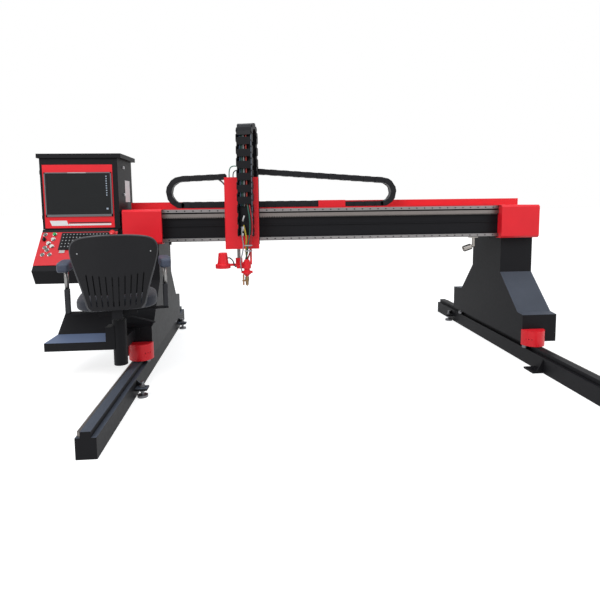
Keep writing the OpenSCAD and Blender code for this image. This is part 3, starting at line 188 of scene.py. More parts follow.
class Net:
    """The node tree of a material or of the world, with a single way to add a node."""

    def __init__(self, owner, shader="Principled BSDF"):
        owner.use_nodes = True
        self.owner = owner
        self.tree = owner.node_tree
        self.shader = self.tree.nodes[shader]

    def put(self, slot, value):
        if isinstance(value, Sock):
            self.tree.links.new(value.socket, slot)
        else:
            slot.default_value = value

    def node(self, kind, settings=None, out=0, slots=None, **sockets):
        """Adds a node: its settings, then its inputs by number or by name, with underscores for spaces."""
        node = self.tree.nodes.new(kind)
        for key, value in (settings or {}).items():
            setattr(node, key, value)
        for key, value in (slots or {}).items():
            self.put(node.inputs[key], value)
        for key, value in sockets.items():
            self.put(node.inputs[key.replace("_", " ")], value)
        return Sock(self, node.outputs[out])

    def place(self):
        return self.node("ShaderNodeTexCoord", out="Object")

    def part(self, vector, axis):
        return self.node("ShaderNodeSeparateXYZ", out=axis, Vector=vector)

    def upward(self):
        return self.part(self.node("ShaderNodeNewGeometry", out="Normal"), "Z")

    def noise(self, scale, detail=3.0, stretch=None):
        where = self.place()
        if stretch:
            where = self.node("ShaderNodeMapping", Vector=where, Scale=stretch)
        return self.node("ShaderNodeTexNoise", Vector=where, Scale=scale, Detail=detail)

    def mix(self, factor, first, second):
        return self.node("ShaderNodeMix", {"data_type": "RGBA"}, 2, {0: factor, 6: first, 7: second})

    def seen(self):
        """1 on the rays that show the pale background: camera, glossy and transmission rays."""
        camera, glossy, through = (self.node("ShaderNodeLightPath", out=name) for name in SEEN_RAYS)
        return (camera + glossy + through).above(0.5)

    def set(self, **values):
        for key, value in values.items():
            self.put(self.shader.inputs[key.replace("_", " ")], value)
        return self

    def bump(self, height, strength, distance):
        bumped = self.node("ShaderNodeBump", Height=height, Strength=strength, Distance=distance)
        return self.set(Normal=bumped)


def material_net(name):
    return Net(bpy.data.materials.new(name))


def rgba(color, gain=1.0):
    return tuple(min(1.0, c * gain) for c in color) + (1.0,)


def coated(name, color, rough=0.40, coat=0.08, vary=0.10, peel=0.10, shine=0.28, dust_and_sheen=None):
    """Powder coat or gloss paint with faint mottling, orange peel and, where a colour is given, dust with a
    painted sky sheen on what faces up.
    """
    net = material_net(name)
    mottle = net.noise(7.0, 4.0)
    paint = net.mix(mottle, rgba(color, 1 - vary), rgba(color, 1 + vary))
    if dust_and_sheen:
        # Upward faces take the given colour: dust mixed with a painted sky sheen
        lying = net.node("ShaderNodeMapRange", Value=net.upward(), From_Min=0.15, From_Max=0.75)
        paint = net.mix(lying * (0.7 + 0.3 * mottle), paint, rgba(dust_and_sheen))
    net.set(Base_Color=paint, Roughness=rough - 0.05 + 0.10 * net.noise(38.0), Coat_Weight=coat,
            Coat_Roughness=0.18, Specular_IOR_Level=shine)
    return net.bump(net.noise(900.0, 2.0), peel, 0.0003).owner


def metal(name, color, rough=0.30, stretch=(1, 1, 1), vary=0.12):
    """Bare metal with drawn or turned streaks."""
    net = material_net(name)
    streak = net.noise(60.0, 4.0, stretch)
    net.set(Base_Color=net.mix(streak, rgba(color, 1 - vary), rgba(color, 1 + vary)), Metallic=1.0,
            Roughness=rough - 0.06 + 0.14 * streak)
    return net.bump(streak, 0.06, 0.0003).owner


def moulded(name, color, rough=0.5, grain=700.0, vary=0.10, shine=0.30):
    """Moulded plastic or rubber with a fine grain."""
    net = material_net(name)
    net.set(Base_Color=net.mix(net.noise(11.0), rgba(color, 1 - vary), rgba(color, 1 + vary)),
            Roughness=rough - 0.05 + 0.10 * net.noise(25.0), Specular_IOR_Level=shine)
    return net.bump(net.noise(grain, 2.0), 0.16, 0.0004).owner


def woven(name, color):
    """Seat cloth: two crossing sets of threads."""
    net = material_net(name)
    warp, weft = (net.node("ShaderNodeTexWave", {"bands_direction": axis}, 1, Vector=net.place(), Scale=160.0)
                  for axis in ("X", "Y"))
    weave = warp * weft
    net.set(Base_Color=net.mix(weave * 0.6 + 0.4 * net.noise(9.0), rgba(color, 0.75), rgba(color, 1.25)),
            Roughness=0.85 + 0.1 * weave, Sheen_Weight=0.2)
    return net.bump(weave, 0.3, 0.0008).owner


def dust_and_sheen_top(name, side, top):
    """Black paint whose upward faces are a blue-grey of dust and painted sky sheen."""
    net = material_net(name)
    dust_and_sheen = net.noise(9.0, 4.0)
    net.set(Base_Color=net.mix(net.upward().above(0.9) * (0.7 + 0.3 * dust_and_sheen), rgba(side), rgba(top)),
            Roughness=0.42 + 0.15 * dust_and_sheen, Specular_IOR_Level=0.12)
    return net.bump(net.noise(900.0, 2.0), 0.10, 0.0003).owner


def screen_glass():
    """The dark screen, almost even."""
    net = material_net("screen")
    net.set(Base_Color=net.mix(net.noise(3.0), rgba((0.009, 0.010, 0.011)), rgba((0.012, 0.013, 0.014))),
            Roughness=0.20 + 0.05 * net.noise(12.0), Specular_IOR_Level=0.18)
    return net.owner


def mesh_of(name, bm, smooth):
    bmesh.ops.recalc_face_normals(bm, faces=bm.faces)
    mesh = bpy.data.meshes.new(name)
    bm.to_mesh(mesh)
    bm.free()
    for face in mesh.polygons:
        face.use_smooth = smooth
    return mesh


def link(name, data, material, body):
    obj = bpy.data.objects.new(name, data)
    bpy.context.scene.collection.objects.link(obj)
    obj.data.materials.append(material)
    if body:
        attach(obj, body)
    return obj


def flat_piece(name, bm, material, body=None):
    """A piece with flat faces, riding on a body if one is given."""
    return link(name, mesh_of(name, bm, False), material, body)


def round_piece(name, bm, material, body=None):
    """A piece with smooth faces, riding on a body if one is given."""
    return link(name, mesh_of(name, bm, True), material, body)


def soften(obj, width, segments=2, angle=35):
    """Rounds the sharp edges with a bevel."""
    bevel = obj.modifiers.new("edge", "BEVEL")
    bevel.width = width
    bevel.segments = segments
    bevel.limit_method = "ANGLE"
    bevel.angle_limit = math.radians(angle)


def circle(radius, count=24):
    angles = [2 * math.pi * k / count for k in range(count)]
    return [(radius * math.cos(a), radius * math.sin(a)) for a in angles]


def rect(a0, a1, b0, b1):
    return [(a0, b0), (a1, b0), (a1, b1), (a0, b1)]


def stadium(length, height, steps=7):
    """Side plate outline of a link: straight edges with flattened round ends."""
    r, flat = height / 2, 0.45
    half = max(length / 2 - r * flat, 0.001)
    points = []
    for side in (1, -1):
        for k in range(steps + 1):
            a = -math.pi / 2 + math.pi * k / steps
            points.append((side * (half + flat * r * math.cos(a)), side * r * math.sin(a)))
    return points


def add_prism(bm, outline, place, along, across, depth, low, high):
    """A flat outline of (a, b) points in the plane (along, across), from low to high along depth."""
    rings = [[bm.verts.new(place + along * a + across * b + depth * level) for a, b in outline]
             for level in (low, high)]
    count = len(outline)
    for i in range(count):
        j = (i + 1) % count
        bm.faces.new((rings[0][i], rings[0][j], rings[1][j], rings[1][i]))
    bm.faces.new(list(reversed(rings[0])))
    bm.faces.new(rings[1])


def add_ring(bm, place, along, across, depth, inner, outer, low, high, count=24):
    """A flat washer between two radii and two levels."""
    loops = [[bm.verts.new(place + along * a + across * b + depth * level) for a, b in circle(radius, count)]
             for radius, level in ((inner, low), (outer, low), (outer, high), (inner, high))]
    for first, second in zip(loops, loops[1:] + loops[:1]):
        for k in range(count):
            j = (k + 1) % count
            bm.faces.new((first[k], first[j], second[j], second[k]))


def add_tube(bm, points, radius, sides=10):
    """A round tube with closed ends along the points."""
    rings = []
    for i, point in enumerate(points):
        ahead = (points[min(i + 1, len(points) - 1)] - points[max(i - 1, 0)]).normalized()
        side = ahead.cross(Y if abs(ahead.y) < 0.8 else X).normalized()
        other = ahead.cross(side)
        rings.append([bm.verts.new(point + radius * (math.cos(a) * side + math.sin(a) * other))
                      for a in (2 * math.pi * k / sides for k in range(sides))])
    for low, high in zip(rings, rings[1:]):
        for k in range(sides):
            bm.faces.new((low[k], low[(k + 1) % sides], high[(k + 1) % sides], high[k]))
    bm.faces.new(list(reversed(rings[0])))
    bm.faces.new(rings[-1])


def add_links(bm, joints, depth, width, height, bar_every=1, bar_share=0.55, inner_share=0.55):
    """Links between neighbouring joints: paired side plates, in turn inside and outside, and cross bars."""
    for i, (a, b) in enumerate(zip(joints, joints[1:])):
        along = (b - a).normalized()
        across = depth.cross(along)
        length = (b - a).length
        middle = (a + b) / 2
        odd = i % 2
        outline = stadium(length + LINK_LAP * height, height * (1 - INNER_TRIM * odd))
        for side in (-1, 1):
            edge = side * (width / 2 - PLATE * odd)
            low, high = sorted((edge, edge - side * PLATE))
            add_prism(bm, outline, middle, along, across, depth, low, high)
        if i % bar_every:
            continue
        reach = width / 2 - BAR_INSET
        for level, share in ((BAR_SINK - height / 2, bar_share), (height / 2 - BAR_SINK - BAR, inner_share)):
            if share:
                half = length * share * bar_every / 2
                place = middle + along * length * (bar_every - 1) / 2
                add_prism(bm, rect(-half, half, level, level + BAR), place, along, across, depth,
                          -reach, reach)


def smooth_path(points, steps=6):
    """Catmull-Rom points through the given ones."""
    ends = [points[0]] + list(points) + [points[-1]]
    path = []
    for p0, p1, p2, p3 in zip(ends, ends[1:], ends[2:], ends[3:]):
        for k in range(steps):
            t = k / steps
            path.append(0.5 * ((2 * p1) + (p2 - p0) * t + (2 * p0 - 5 * p1 + 4 * p2 - p3) * t * t
                               + (3 * p1 - p0 - 3 * p2 + p3) * t ** 3))
    path.append(Vector(points[-1]))
    return path


def straight(a, b, pitch):
    """Joints from a to b, as near the pitch as whole links allow."""
    count = max(2, round((b - a).length / pitch))
    return [a.lerp(b, i / count) for i in range(count + 1)]


def arc(centre, radius, first, last, count, u, v):
    """Joints on an arc in the plane (u, v), from first to last in degrees."""
    angles = [math.radians(first + (last - first) * i / count) for i in range(count + 1)]
    return [centre + radius * (math.cos(t) * u + math.sin(t) * v) for t in angles]


def on_panel(across, up):
    """A place on the desk's sloping panel: from its left edge and up the slope."""
    return Vector((PANEL_LEFT + across, PANEL_LOW[0] + up * math.cos(PANEL_TILT),
                   PANEL_LOW[1] + up * math.sin(PANEL_TILT)))


def on_seat(x, y, z):
    """A place in the seat's own frame, which is turned on its post."""
    c, s = math.cos(SEAT_TURN), math.sin(SEAT_TURN)
    return SEAT + Vector((x * c - y * s, x * s + y * c, z))


def on_gantry(x, y, z):
    """A place measured from the gantry's middle."""
    return Vector((x + GANTRY_X, y, z))


def padded_block(name, size, centre, crown, power, cuts):
    """A stuffed block turned with the seat: a rounded box whose top bulges by crown."""
    bm = bmesh.new()
    bmesh.ops.create_cube(bm, size=2.0)
    bmesh.ops.subdivide_edges(bm, edges=bm.edges, cuts=cuts, use_grid_fill=True)
    for vert in bm.verts:
        p = vert.co
        scale = 1.0 / (sum(abs(c) ** power for c in p) ** (1.0 / power))
        q = Vector((p.x * scale, p.y * scale, p.z * scale))
        lift = crown * max(0.0, q.z) * (1 - q.x ** 2) * (1 - q.y ** 2)
        vert.co = Vector((q.x * size[0] / 2, q.y * size[1] / 2, q.z * size[2] / 2 + lift))
    mesh = mesh_of(name, bm, True)
    mesh.transform(Matrix.Translation(centre) @ Matrix.Rotation(SEAT_TURN, 4, "Z"))
    return mesh


class MachineSettings(bpy.types.PropertyGroup):
    """Sizes and colours of the machine"""

    chain_pitch: bpy.props.FloatProperty(name="Chain pitch", description="Length of a beam chain link",
                                         default=0.044, unit="LENGTH")
    chain_height: bpy.props.FloatProperty(name="Chain height", description="Height of a beam chain link",
                                          default=0.042, unit="LENGTH")
    chain_width: bpy.props.FloatProperty(name="Chain width", description="Width of a beam chain link",
                                         default=0.072, unit="LENGTH")
    hose: bpy.props.FloatProperty(name="Hose diameter", description="Outside diameter of the gas hoses",
                                  default=0.011, unit="LENGTH")
    red: bpy.props.FloatVectorProperty(name="Red", description="Colour of the red powder coat",
                                       subtype="COLOR", default=(0.72, 0.012, 0.022))
    black: bpy.props.FloatVectorProperty(name="Black", description="Colour of the black coat with dust and painted sheen",
                                         subtype="COLOR", default=(0.0095, 0.0095, 0.011))


class StageSettings(bpy.types.PropertyGroup):
    """Camera and floor"""

    lens: bpy.props.FloatProperty(name="Lens", description="Focal length of the camera",
                                  default=27.9, unit="CAMERA")
    camera: bpy.props.FloatVectorProperty(name="Camera", description="Place of the camera", subtype="XYZ",
                                          default=(-0.3225, -3.470, 1.175))
    floor: bpy.props.FloatProperty(name="Floor", description="Half width of the floor",
                                   default=60.0, unit="LENGTH")


class CUTTER_OT_finishes(bpy.types.Operator):
    """Gives the listed CAD nodes their finishes and softens the edges of those with a bevel width"""

    bl_idname = "cutter.finishes"
    bl_label = "Finishes"

    def execute(self, context):
        have = context.scene.cutter
        uses = (
            (coated("red powder coat", have.red),
             "nose_guards end_covers chain_tray carriage_cover torch_clamp torch_body sensor_lamp "
             "console_fascia"),
            # A lit copy and a plain copy of one black coat: the pale blue-grey on the upward faces of the
            # left rail and right leg is dust with a painted sky sheen, and the other black parts get none
            (coated("black coat with dust and painted sheen", have.black, 0.52, 0.0, shine=0.09, dust_and_sheen=(0.075, 0.086, 0.110)),
             "left_rail right_leg"),
            (coated("black coat without painted sheen", have.black, 0.50, 0.0, shine=0.09),
             "right_rail left_leg beam carriage_plate console_cabinet console_door desk seat_post "
             "seat_frame"),
            (moulded("dark plastic", (0.011, 0.011, 0.0125), shine=0.14),
             "seat_lever drive_motors carriage_motors monitor keyboard mode_knob seat_back carriage_cables "
             "chain_bends chain_lower_runs chain_upper_runs lift_chain torch_hoses seat_cushion armrests"),
            (metal("guide steel", (0.215, 0.205, 0.205), 0.40, (0.4, 6, 6)),
             "guide_rails guide_blocks torch_slide left_front_wheel left_rear_wheel right_front_wheel "
             "right_rear_wheel"),
            (metal("rack steel", (0.175, 0.158, 0.150), 0.45),
             "track_racks beam_rack left_pinion right_pinion carriage_pinion"),
            (metal("lamp metal", (0.30, 0.28, 0.26), 0.32), "side_lamp"),
            (metal("dark iron", (0.16, 0.16, 0.17), 0.45), "trucks guide_rollers levelling_feet"),
            (metal("chrome", (0.46, 0.46, 0.47), 0.24), "lift_screw seat_lift"),
            (metal("turned copper", (0.36, 0.17, 0.085), 0.34, (8, 8, 1)), "torch_tips"),
            # The footrest's blue-grey tread is dust with a painted sky sheen
            (dust_and_sheen_top("footrest paint", have.black, (0.150, 0.205, 0.345)), "footrest"),
            (coated("green cap", (0.02, 0.32, 0.09), 0.25), "start_button"),
            (coated("stop cap", (0.62, 0.01, 0.015), 0.25), "emergency_stop"),
            (metal("button metal", (0.33, 0.35, 0.32), 0.34), "push_button_1 push_button_2 push_button_3"),
            (coated("panel red", [0.78 * c for c in have.red]), "desk_panel"),
        )
        edges = {  # bevel widths in millimetres
            "left_leg": 4, "right_leg": 4, "beam": 2, "end_covers": 2, "console_cabinet": 2,
            "console_door": 1.5, "desk": 3, "footrest": 1, "carriage_cover": 2, "left_rail": 2,
            "right_rail": 2, "nose_guards": 1.5, "seat_back": 2, "monitor": 2, "keyboard": 0.8,
            "chain_tray": 0.8, "seat_post": 2,
        }
        for material, names in uses:
            for name in names.split():
                node = bpy.data.objects[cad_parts[name].name]
                node.data.materials.clear()
                node.data.materials.append(material)
                if name in edges:
                    soften(node, edges[name] / 1000)
        return {"FINISHED"}


class CUTTER_OT_beam_chains(bpy.types.Operator):
    """Builds the links of the two drag chains on the beam"""

    bl_idname = "cutter.beam_chains"
    bl_label = "Beam chains"

    def execute(self, context):
        have = context.scene.cutter
        black = moulded("chain link", (0.010, 0.010, 0.012), 0.42, shine=0.16)
        y = CHAIN_Y + have.chain_width / 2
        left_low = CHAIN_LOW + LEFT_TALLER / 2
        runs = (  # name, first and last joint, node that it stands for, added height
            ("left_lower_run", (-0.115, left_low), (LEFT_BEND, left_low), "chain_lower_runs", LEFT_TALLER),
            ("right_lower_run", (0.091, CHAIN_LOW), (RIGHT_BEND, CHAIN_LOW), "chain_lower_runs", 0),
            ("left_upper_run", (LEFT_BEND, LEFT_HIGH), (-0.815, LEFT_END), "chain_upper_runs", 0),
            ("right_upper_run", (RIGHT_BEND, RIGHT_HIGH), (-0.565, RIGHT_END), "chain_upper_runs", 0),
        )
        for name, first, last, node, taller in runs:
            a, b = (on_gantry(x, y, z) for x, z in (first, last))
            bm = bmesh.new()
            add_links(bm, straight(a, b, have.chain_pitch), Y, have.chain_width, have.chain_height + taller,
                      bar_share=0.8, inner_share=0.8)
            run = flat_piece(name, bm, black)
            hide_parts(node)
            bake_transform(run)
        for name, x, high, first, last in (("left_loop", LEFT_BEND, LEFT_HIGH, 270, 90),
                                           ("right_loop", RIGHT_BEND, RIGHT_HIGH, -90, 90)):
            radius = (high - CHAIN_LOW) / 2
            joints = arc(on_gantry(x, y, CHAIN_LOW + radius), radius, first, last, LOOP_LINKS, X, UP)
            bm = bmesh.new()
            add_links(bm, joints, Y, have.chain_width, have.chain_height, bar_share=1.0, inner_share=1.0)
            loop = flat_piece(name, bm, black, "chain_loops")
            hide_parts("chain_bends")
        return {"FINISHED"}


class CUTTER_OT_lift_chain(bpy.types.Operator):
    """Builds the lift chain with the leads that show in its windows and a painted highlight strip along its
    edge
    """

    bl_idname = "cutter.lift_chain"
    bl_label = "Lift chain"

    def execute(self, context):
        side = Vector((math.cos(LIFT_TURN), math.sin(LIFT_TURN), 0))
        ahead = Vector((-math.sin(LIFT_TURN), math.cos(LIFT_TURN), 0))

        def at(back, z):
            return Vector((LIFT_X, LIFT_FRONT, z)) + ahead * back

        radius = LIFT_REACH / 2
        back = straight(at(LIFT_REACH, COVER_TOP), at(LIFT_REACH, LIFT_BEND), LIFT_PITCH)
        arch = arc(at(radius, LIFT_BEND), radius, 0, 180, 10, ahead, UP)
        front = straight(at(0, LIFT_BEND), at(0, LIFT_LOW), LIFT_PITCH)
        joints = back[:-1] + arch + front[1:]

        def follow(piece):
            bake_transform(piece)

        size = (side, LIFT_WIDTH, LIFT_HEIGHT)
        bm = bmesh.new()
        add_links(bm, back, *size, bar_every=2, bar_share=0.70, inner_share=1.0)
        add_links(bm, arch, *size, bar_share=1.3, inner_share=0.8)
        add_links(bm, front[:-OPEN_LINKS], *size, bar_every=2, bar_share=0.62, inner_share=1.0)
        add_links(bm, front[-OPEN_LINKS - 1:], *size, bar_share=0.0, inner_share=1.0)
        black = moulded("lift chain link", (0.007, 0.007, 0.0085), 0.42, shine=0.10)
        chain = flat_piece("lift_chain_links", bm, black)
        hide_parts("lift_chain")
        follow(chain)
        leads = (  # name, colour, place across the chain
            ("red", (0.30, 0.030, 0.022), 0.012),
            ("grey", (0.20, 0.20, 0.21), -0.006),
            ("blue", (0.030, 0.050, 0.085), -0.034),
            ("green", (0.012, 0.050, 0.035), -0.021),
        )
        for name, color, shift in leads:
            bm = bmesh.new()
            add_tube(bm, [point + side * shift for point in joints[:-OPEN_LINKS]], LEAD_RADIUS, 8)
            follow(round_piece(name + "_lead", bm, moulded(name + " lead", color, 0.45)))
        # A thin pale strip along the side plates of the front strand: a painted highlight
        bm = bmesh.new()
        edge_half, edge_front, edge_in, edge_out = 0.0012, 0.0202, -0.0048, -0.0004
        for a, b in zip(front, front[1:]):
            place = a + side * (LIFT_WIDTH / 2) - ahead * edge_front
            add_prism(bm, rect(0.004, 0.036, -edge_half, edge_half), place,
                      (b - a).normalized(), ahead, side, edge_in, edge_out)
        follow(flat_piece("lift_chain_painted_highlight", bm, moulded("painted edge highlight", (0.10, 0.12, 0.15), 0.4)))
        return {"FINISHED"}


class CUTTER_OT_hoses(bpy.types.Operator):
    """Builds the gas hoses, their ties and plugs, the clip on the torch tips and the cover's loops"""

    bl_idname = "cutter.hoses"
    bl_label = "Hoses"

    def torch_hoses(self, width):
        routes = (
            ("red_hose", (0.28, 0.015, 0.02),
             ((-0.634, -0.188, 1.185), (-0.630, -0.206, 1.150), (-0.618, -0.216, 1.060),
              (-0.620, -0.217, 0.980), (-0.632, -0.214, 0.900), (-0.638, -0.206, 0.840),
              (-0.655, -0.184, 0.7905))),
            ("green_hose", (0.014, 0.075, 0.052),
             ((-0.648, -0.188, 1.185), (-0.644, -0.207, 1.145), (-0.633, -0.218, 1.060),
              (-0.636, -0.219, 0.975), (-0.649, -0.216, 0.895), (-0.656, -0.205, 0.838),
              (-0.668, -0.184, 0.7905))),
            ("yellow_hose", (0.36, 0.26, 0.02),
             ((-0.676, -0.186, 1.030), (-0.668, -0.206, 0.990), (-0.660, -0.214, 0.940),
              (-0.663, -0.209, 0.880), (-0.664, -0.194, 0.830), (-0.657, -0.171, 0.7905))),
            ("grey_lead", (0.24, 0.25, 0.27),
             ((-0.690, -0.180, 1.020), (-0.689, -0.198, 0.950), (-0.682, -0.206, 0.890),
              (-0.690, -0.213, 0.835), (-0.703, -0.213, 0.785), (-0.702, -0.206, 0.738),
              (-0.697, -0.190, 0.708))),
            ("lamp_lead", LEAD_BLACK,
             ((-0.801, -0.190, 0.800), (-0.780, -0.198, 0.803), (-0.758, -0.202, 0.782),
              (-0.748, -0.200, 0.752), (-0.738, -0.192, 0.738))),
        )
        for name, color, points in routes:
            radius = width / 2 * (LEAD_SHARE if "lead" in name else 1.0)
            bm = bmesh.new()
            add_tube(bm, smooth_path([on_gantry(*p) for p in points]), radius)
            hose = round_piece(name, bm, moulded(name.replace("_", " "), color, 0.40, 300.0), "torch")
            if name == "red_hose":
                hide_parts("torch_hoses")

    def fittings(self):
        tie_wide, tie_deep, tie_half, plug_radius, tip_radius = 0.028, 0.0125, 0.004, 0.0055, 0.009
        bm = bmesh.new()
        for z in (0.852, 0.890):
            oval = [(a * tie_wide, b * tie_deep) for a, b in circle(1.0)]
            add_prism(bm, oval, on_gantry(-0.648, -0.2110, z), X, Y, UP, -tie_half, tie_half)
        flat_piece("hose_ties", bm, moulded("pale tie", (0.34, 0.35, 0.37), 0.4), "torch")
        bm = bmesh.new()
        for a, b in (((-0.684, -0.199, 1.060), (-0.671, -0.203, 1.098)),
                     ((-0.683, -0.200, 0.990), (-0.679, -0.203, 1.022)),
                     ((-0.684, -0.201, 0.955), (-0.682, -0.202, 0.975))):
            add_tube(bm, [on_gantry(*a), on_gantry(*b)], plug_radius)
        round_piece("hose_plugs", bm, moulded("pale plug", (0.50, 0.50, 0.50), 0.4), "torch")
        low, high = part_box("torch_tips")
        tip = Vector((high[0] - tip_radius, high[1] - tip_radius, low[2]))
        clip = [(-0.034, -0.013), (-0.029, -0.018), (0.004, -0.018), (0.013, -0.008),
                (0.013, 0.006), (0.006, 0.013), (-0.010, 0.011), (-0.034, -0.001)]
        bm = bmesh.new()
        for outline, bottom, top in ((circle(0.0142, 6), 0.043, 0.066), (circle(0.0108), 0.007, 0.034),
                                     (clip, 0.034, 0.043)):
            add_prism(bm, outline, tip, X, Y, UP, bottom, top)
        flat_piece("tip_clip", bm, metal("dull brass", (0.24, 0.15, 0.075), 0.42), "torch")

    def carriage_loops(self):
        bm = bmesh.new()
        path = ((-0.860, 0.070, 1.362), (-0.835, 0.010, 1.344), (-0.8108, -0.060, 1.318))
        add_tube(bm, smooth_path([on_gantry(*p) for p in path]), LEAD_RADIUS)
        round_piece("chain_lead", bm, moulded("dark lead", LEAD_BLACK, 0.4), "carriage")
        loops = (  # name, colour, depth, and points in millimetres from the cover's top
            ("green_loop", (0.02, 0.15, 0.10), -0.0508,
             ((-88, 0), (-88, 20), (-87, 45), (-82, 66), (-72, 79), (-56, 85), (-34, 84), (-14, 81),
              (4.6, 80))),
            ("black_loop", LEAD_BLACK, -0.0368,
             ((-60, 0), (-61, 16), (-59, 32), (-52, 46), (-40, 54), (-20, 58), (8, 57))),
        )
        for name, color, y, points in loops:
            places = [Vector((CARRIAGE_X + a / 1000, y, COVER_TOP + b / 1000)) for a, b in points]
            bm = bmesh.new()
            add_tube(bm, smooth_path(places, 3), CORD_RADIUS)
            loop = round_piece(name, bm, moulded(name.replace("_", " "), color, 0.4), "carriage")
            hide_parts("carriage_cables")

    def execute(self, context):
        self.torch_hoses(context.scene.cutter.hose)
        self.fittings()
        self.carriage_loops()
        return {"FINISHED"}


class CUTTER_OT_seat(bpy.types.Operator):
    """Builds the seat's stuffed cushion, its armrests, and the web, rim and screws of its back"""

    bl_idname = "cutter.seat"
    bl_label = "Seat"

    def cushion(self):
        low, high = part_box("seat_cushion")
        sink = 0.006
        size = (0.470, 0.440, high[2] - low[2] - 2 * sink)
        centre = on_seat(0, 0.040, (low[2] + high[2]) / 2 - sink)
        cushion = link("stuffed_cushion", padded_block("stuffed_cushion", size, centre, 0.012, 4.0, 26),
                       woven("seat cloth", (0.013, 0.016, 0.026)), "seat")
        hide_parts("seat_cushion")

    def armrests(self, along, across):
        pads, posts, sleeves = bmesh.new(), bmesh.new(), bmesh.new()
        pad_size, pad_forward = (0.072, 0.260, 0.060), -0.020
        sleeve_low, sleeve_high, post_low, post_radius = 0.5302, 0.680, 0.672, 0.013
        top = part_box("armrests")[1][2]
        for x in (-ARM_X, ARM_X):
            centre = on_seat(x, pad_forward, top - pad_size[2] / 2)
            block = padded_block("pad", pad_size, centre, 0.0, 5.0, 14)
            pads.from_mesh(block)
            bpy.data.meshes.remove(block)
            add_tube(posts, [on_seat(x, 0, post_low), on_seat(x, 0, top - 0.050)], post_radius, 20)
            add_prism(sleeves, rect(-0.015, 0.015, -0.020, 0.020), on_seat(x, 0, 0), along, across, UP,
                      sleeve_low, sleeve_high)
        pad = round_piece("arm_pads", pads, moulded("arm pad", (0.046, 0.056, 0.085), 0.55), "seat")
        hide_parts("armrests")
        round_piece("arm_posts", posts, metal("post chrome", (0.24, 0.235, 0.23), 0.36), "seat")
        sleeve = flat_piece("arm_sleeves", sleeves, moulded("arm sleeve", (0.014, 0.015, 0.019), 0.5), "seat")
        soften(sleeve, 0.006, 3)

    def back(self, along, across):
        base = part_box("seat_back")[0][2]
        web_half, slot_low, slot_middle, slot_top = 0.172, 0.090, 0.1425, 0.224
        spread = [math.asin(web_half / BACK_CURVE) * (k / 8 - 1) for k in range(17)]
        web = bmesh.new()
        for turns, low, high in ((spread, slot_middle, slot_top), (spread[:7], slot_low, slot_middle),
                                 (spread[10:], slot_low, slot_middle)):
            outline = [(r * math.sin(a), BACK_CENTRE - r * math.cos(a))
                       for r, angles in ((WEB_OUTER, turns), (WEB_INNER, turns[::-1])) for a in angles]
            add_prism(web, outline, on_seat(0, 0, base), along, across, UP, low, high)
        flat_piece("slot_web", web, moulded("back plastic", (0.010, 0.010, 0.0115), shine=0.12), "seat")
        rim_in, rim_drop, rim_radius = 0.003, 0.002, 0.0055
        half = [(a * BACK_SIZE[0] / 2 - rim_in, b * BACK_SIZE[1] - rim_drop) for a, b in BACK_SIDE]
        rim = [on_seat(x, BACK_CENTRE - math.sqrt((BACK_CURVE - rim_in) ** 2 - x * x), base + z)
               for x, z in half + [(-x, z) for x, z in reversed(half)]]
        edge = bmesh.new()
        add_tube(edge, smooth_path(rim, 4), rim_radius)
        # The rim is a real raised edge; its colour, lighter than the back's plastic, is a painted highlight
        round_piece("back_rim", edge, moulded("back rim with painted highlight", (0.020, 0.021, 0.025), 0.35, shine=0.5), "seat")
        screw_x, screw_y, screw_z, screw_radius = 0.200, -0.1893, 0.908, 0.0038
        screws = bmesh.new()
        for x in (-screw_x, screw_x):
            out = (on_seat(x, screw_y - BACK_CENTRE, 0) - SEAT).normalized()
            add_prism(screws, circle(screw_radius, 16), on_seat(x, screw_y, screw_z), out.cross(UP), UP, out,
                      -0.001, 0.0015)
        flat_piece("back_screws", screws, metal("screw steel", (0.36, 0.37, 0.38), 0.35), "seat")

    def execute(self, context):
        along, across = on_seat(1, 0, 0) - SEAT, on_seat(0, 1, 0) - SEAT
        self.cushion()
        self.armrests(along, across)
        self.back(along, across)
        return {"FINISHED"}


class CUTTER_OT_guide_bolts(bpy.types.Operator):
    """Darkens the bolt recesses of the guide rails and hangs the two stop bolts under the beam"""

    bl_idname = "cutter.guide_bolts"
    bl_label = "Guide bolts"

    def execute(self, context):
        count, pitch, hole_radius, bolt_radius = 42, 0.060, 0.0053, 0.009
        bm = bmesh.new()
        for z in (1.132, 0.920):
            for i in range(count):
                place = on_gantry((i - (count - 1) / 2) * pitch, GUIDE_FRONT, z)
                add_prism(bm, circle(hole_radius, 14), place, X, UP, Y, 0.001, 0.004)
        for x in (-1.228, 1.228):
            add_prism(bm, circle(bolt_radius), on_gantry(x, 0.031, 0.905), X, Y, UP, -0.020, -0.0001)
        flat_piece("guide_bolts", bm, moulded("bolt head", (0.010, 0.010, 0.011), 0.6), "gantry")
        return {"FINISHED"}


class CUTTER_OT_sheet_metal(bpy.types.Operator):
    """Adds the tray's long back wall over the end covers and the covers' inner walls"""

    bl_idname = "cutter.sheet_metal"
    bl_label = "Sheet metal"

    def execute(self, context):
        sheet, fold, beam_front = 0.003, 0.014, 0.015
        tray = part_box("chain_tray")[1]
        cover_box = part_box("end_covers")
        top = cover_box[1][2]
        front, low = cover_box[0][1] + sheet, cover_box[0][2] + sheet
        back, high = beam_front - sheet, top - sheet
        middle = on_gantry(0, 0, 0)
        red = coated("red sheet", context.scene.cutter.red)
        bm = bmesh.new()
        for x0, x1 in ((-1.543, -1.256), (1.256, 1.543)):
            add_prism(bm, rect(x0, x1, top, tray[2] - 0.002), middle, X, UP, Y, tray[1] - sheet, tray[1])
        flat_piece("tray_wall", bm, red, "gantry")
        profile = [(front, low + fold), (front + fold, low), (back, low), (back, high), (front + fold, high),
                   (front, high - fold)]
        bm = bmesh.new()
        for x0, x1 in ((-1.2815, -1.2785), (1.2785, 1.2815)):
            add_prism(bm, profile, middle, Y, UP, X, x0, x1)
        flat_piece("cover_walls", bm, red, "gantry")
        return {"FINISHED"}


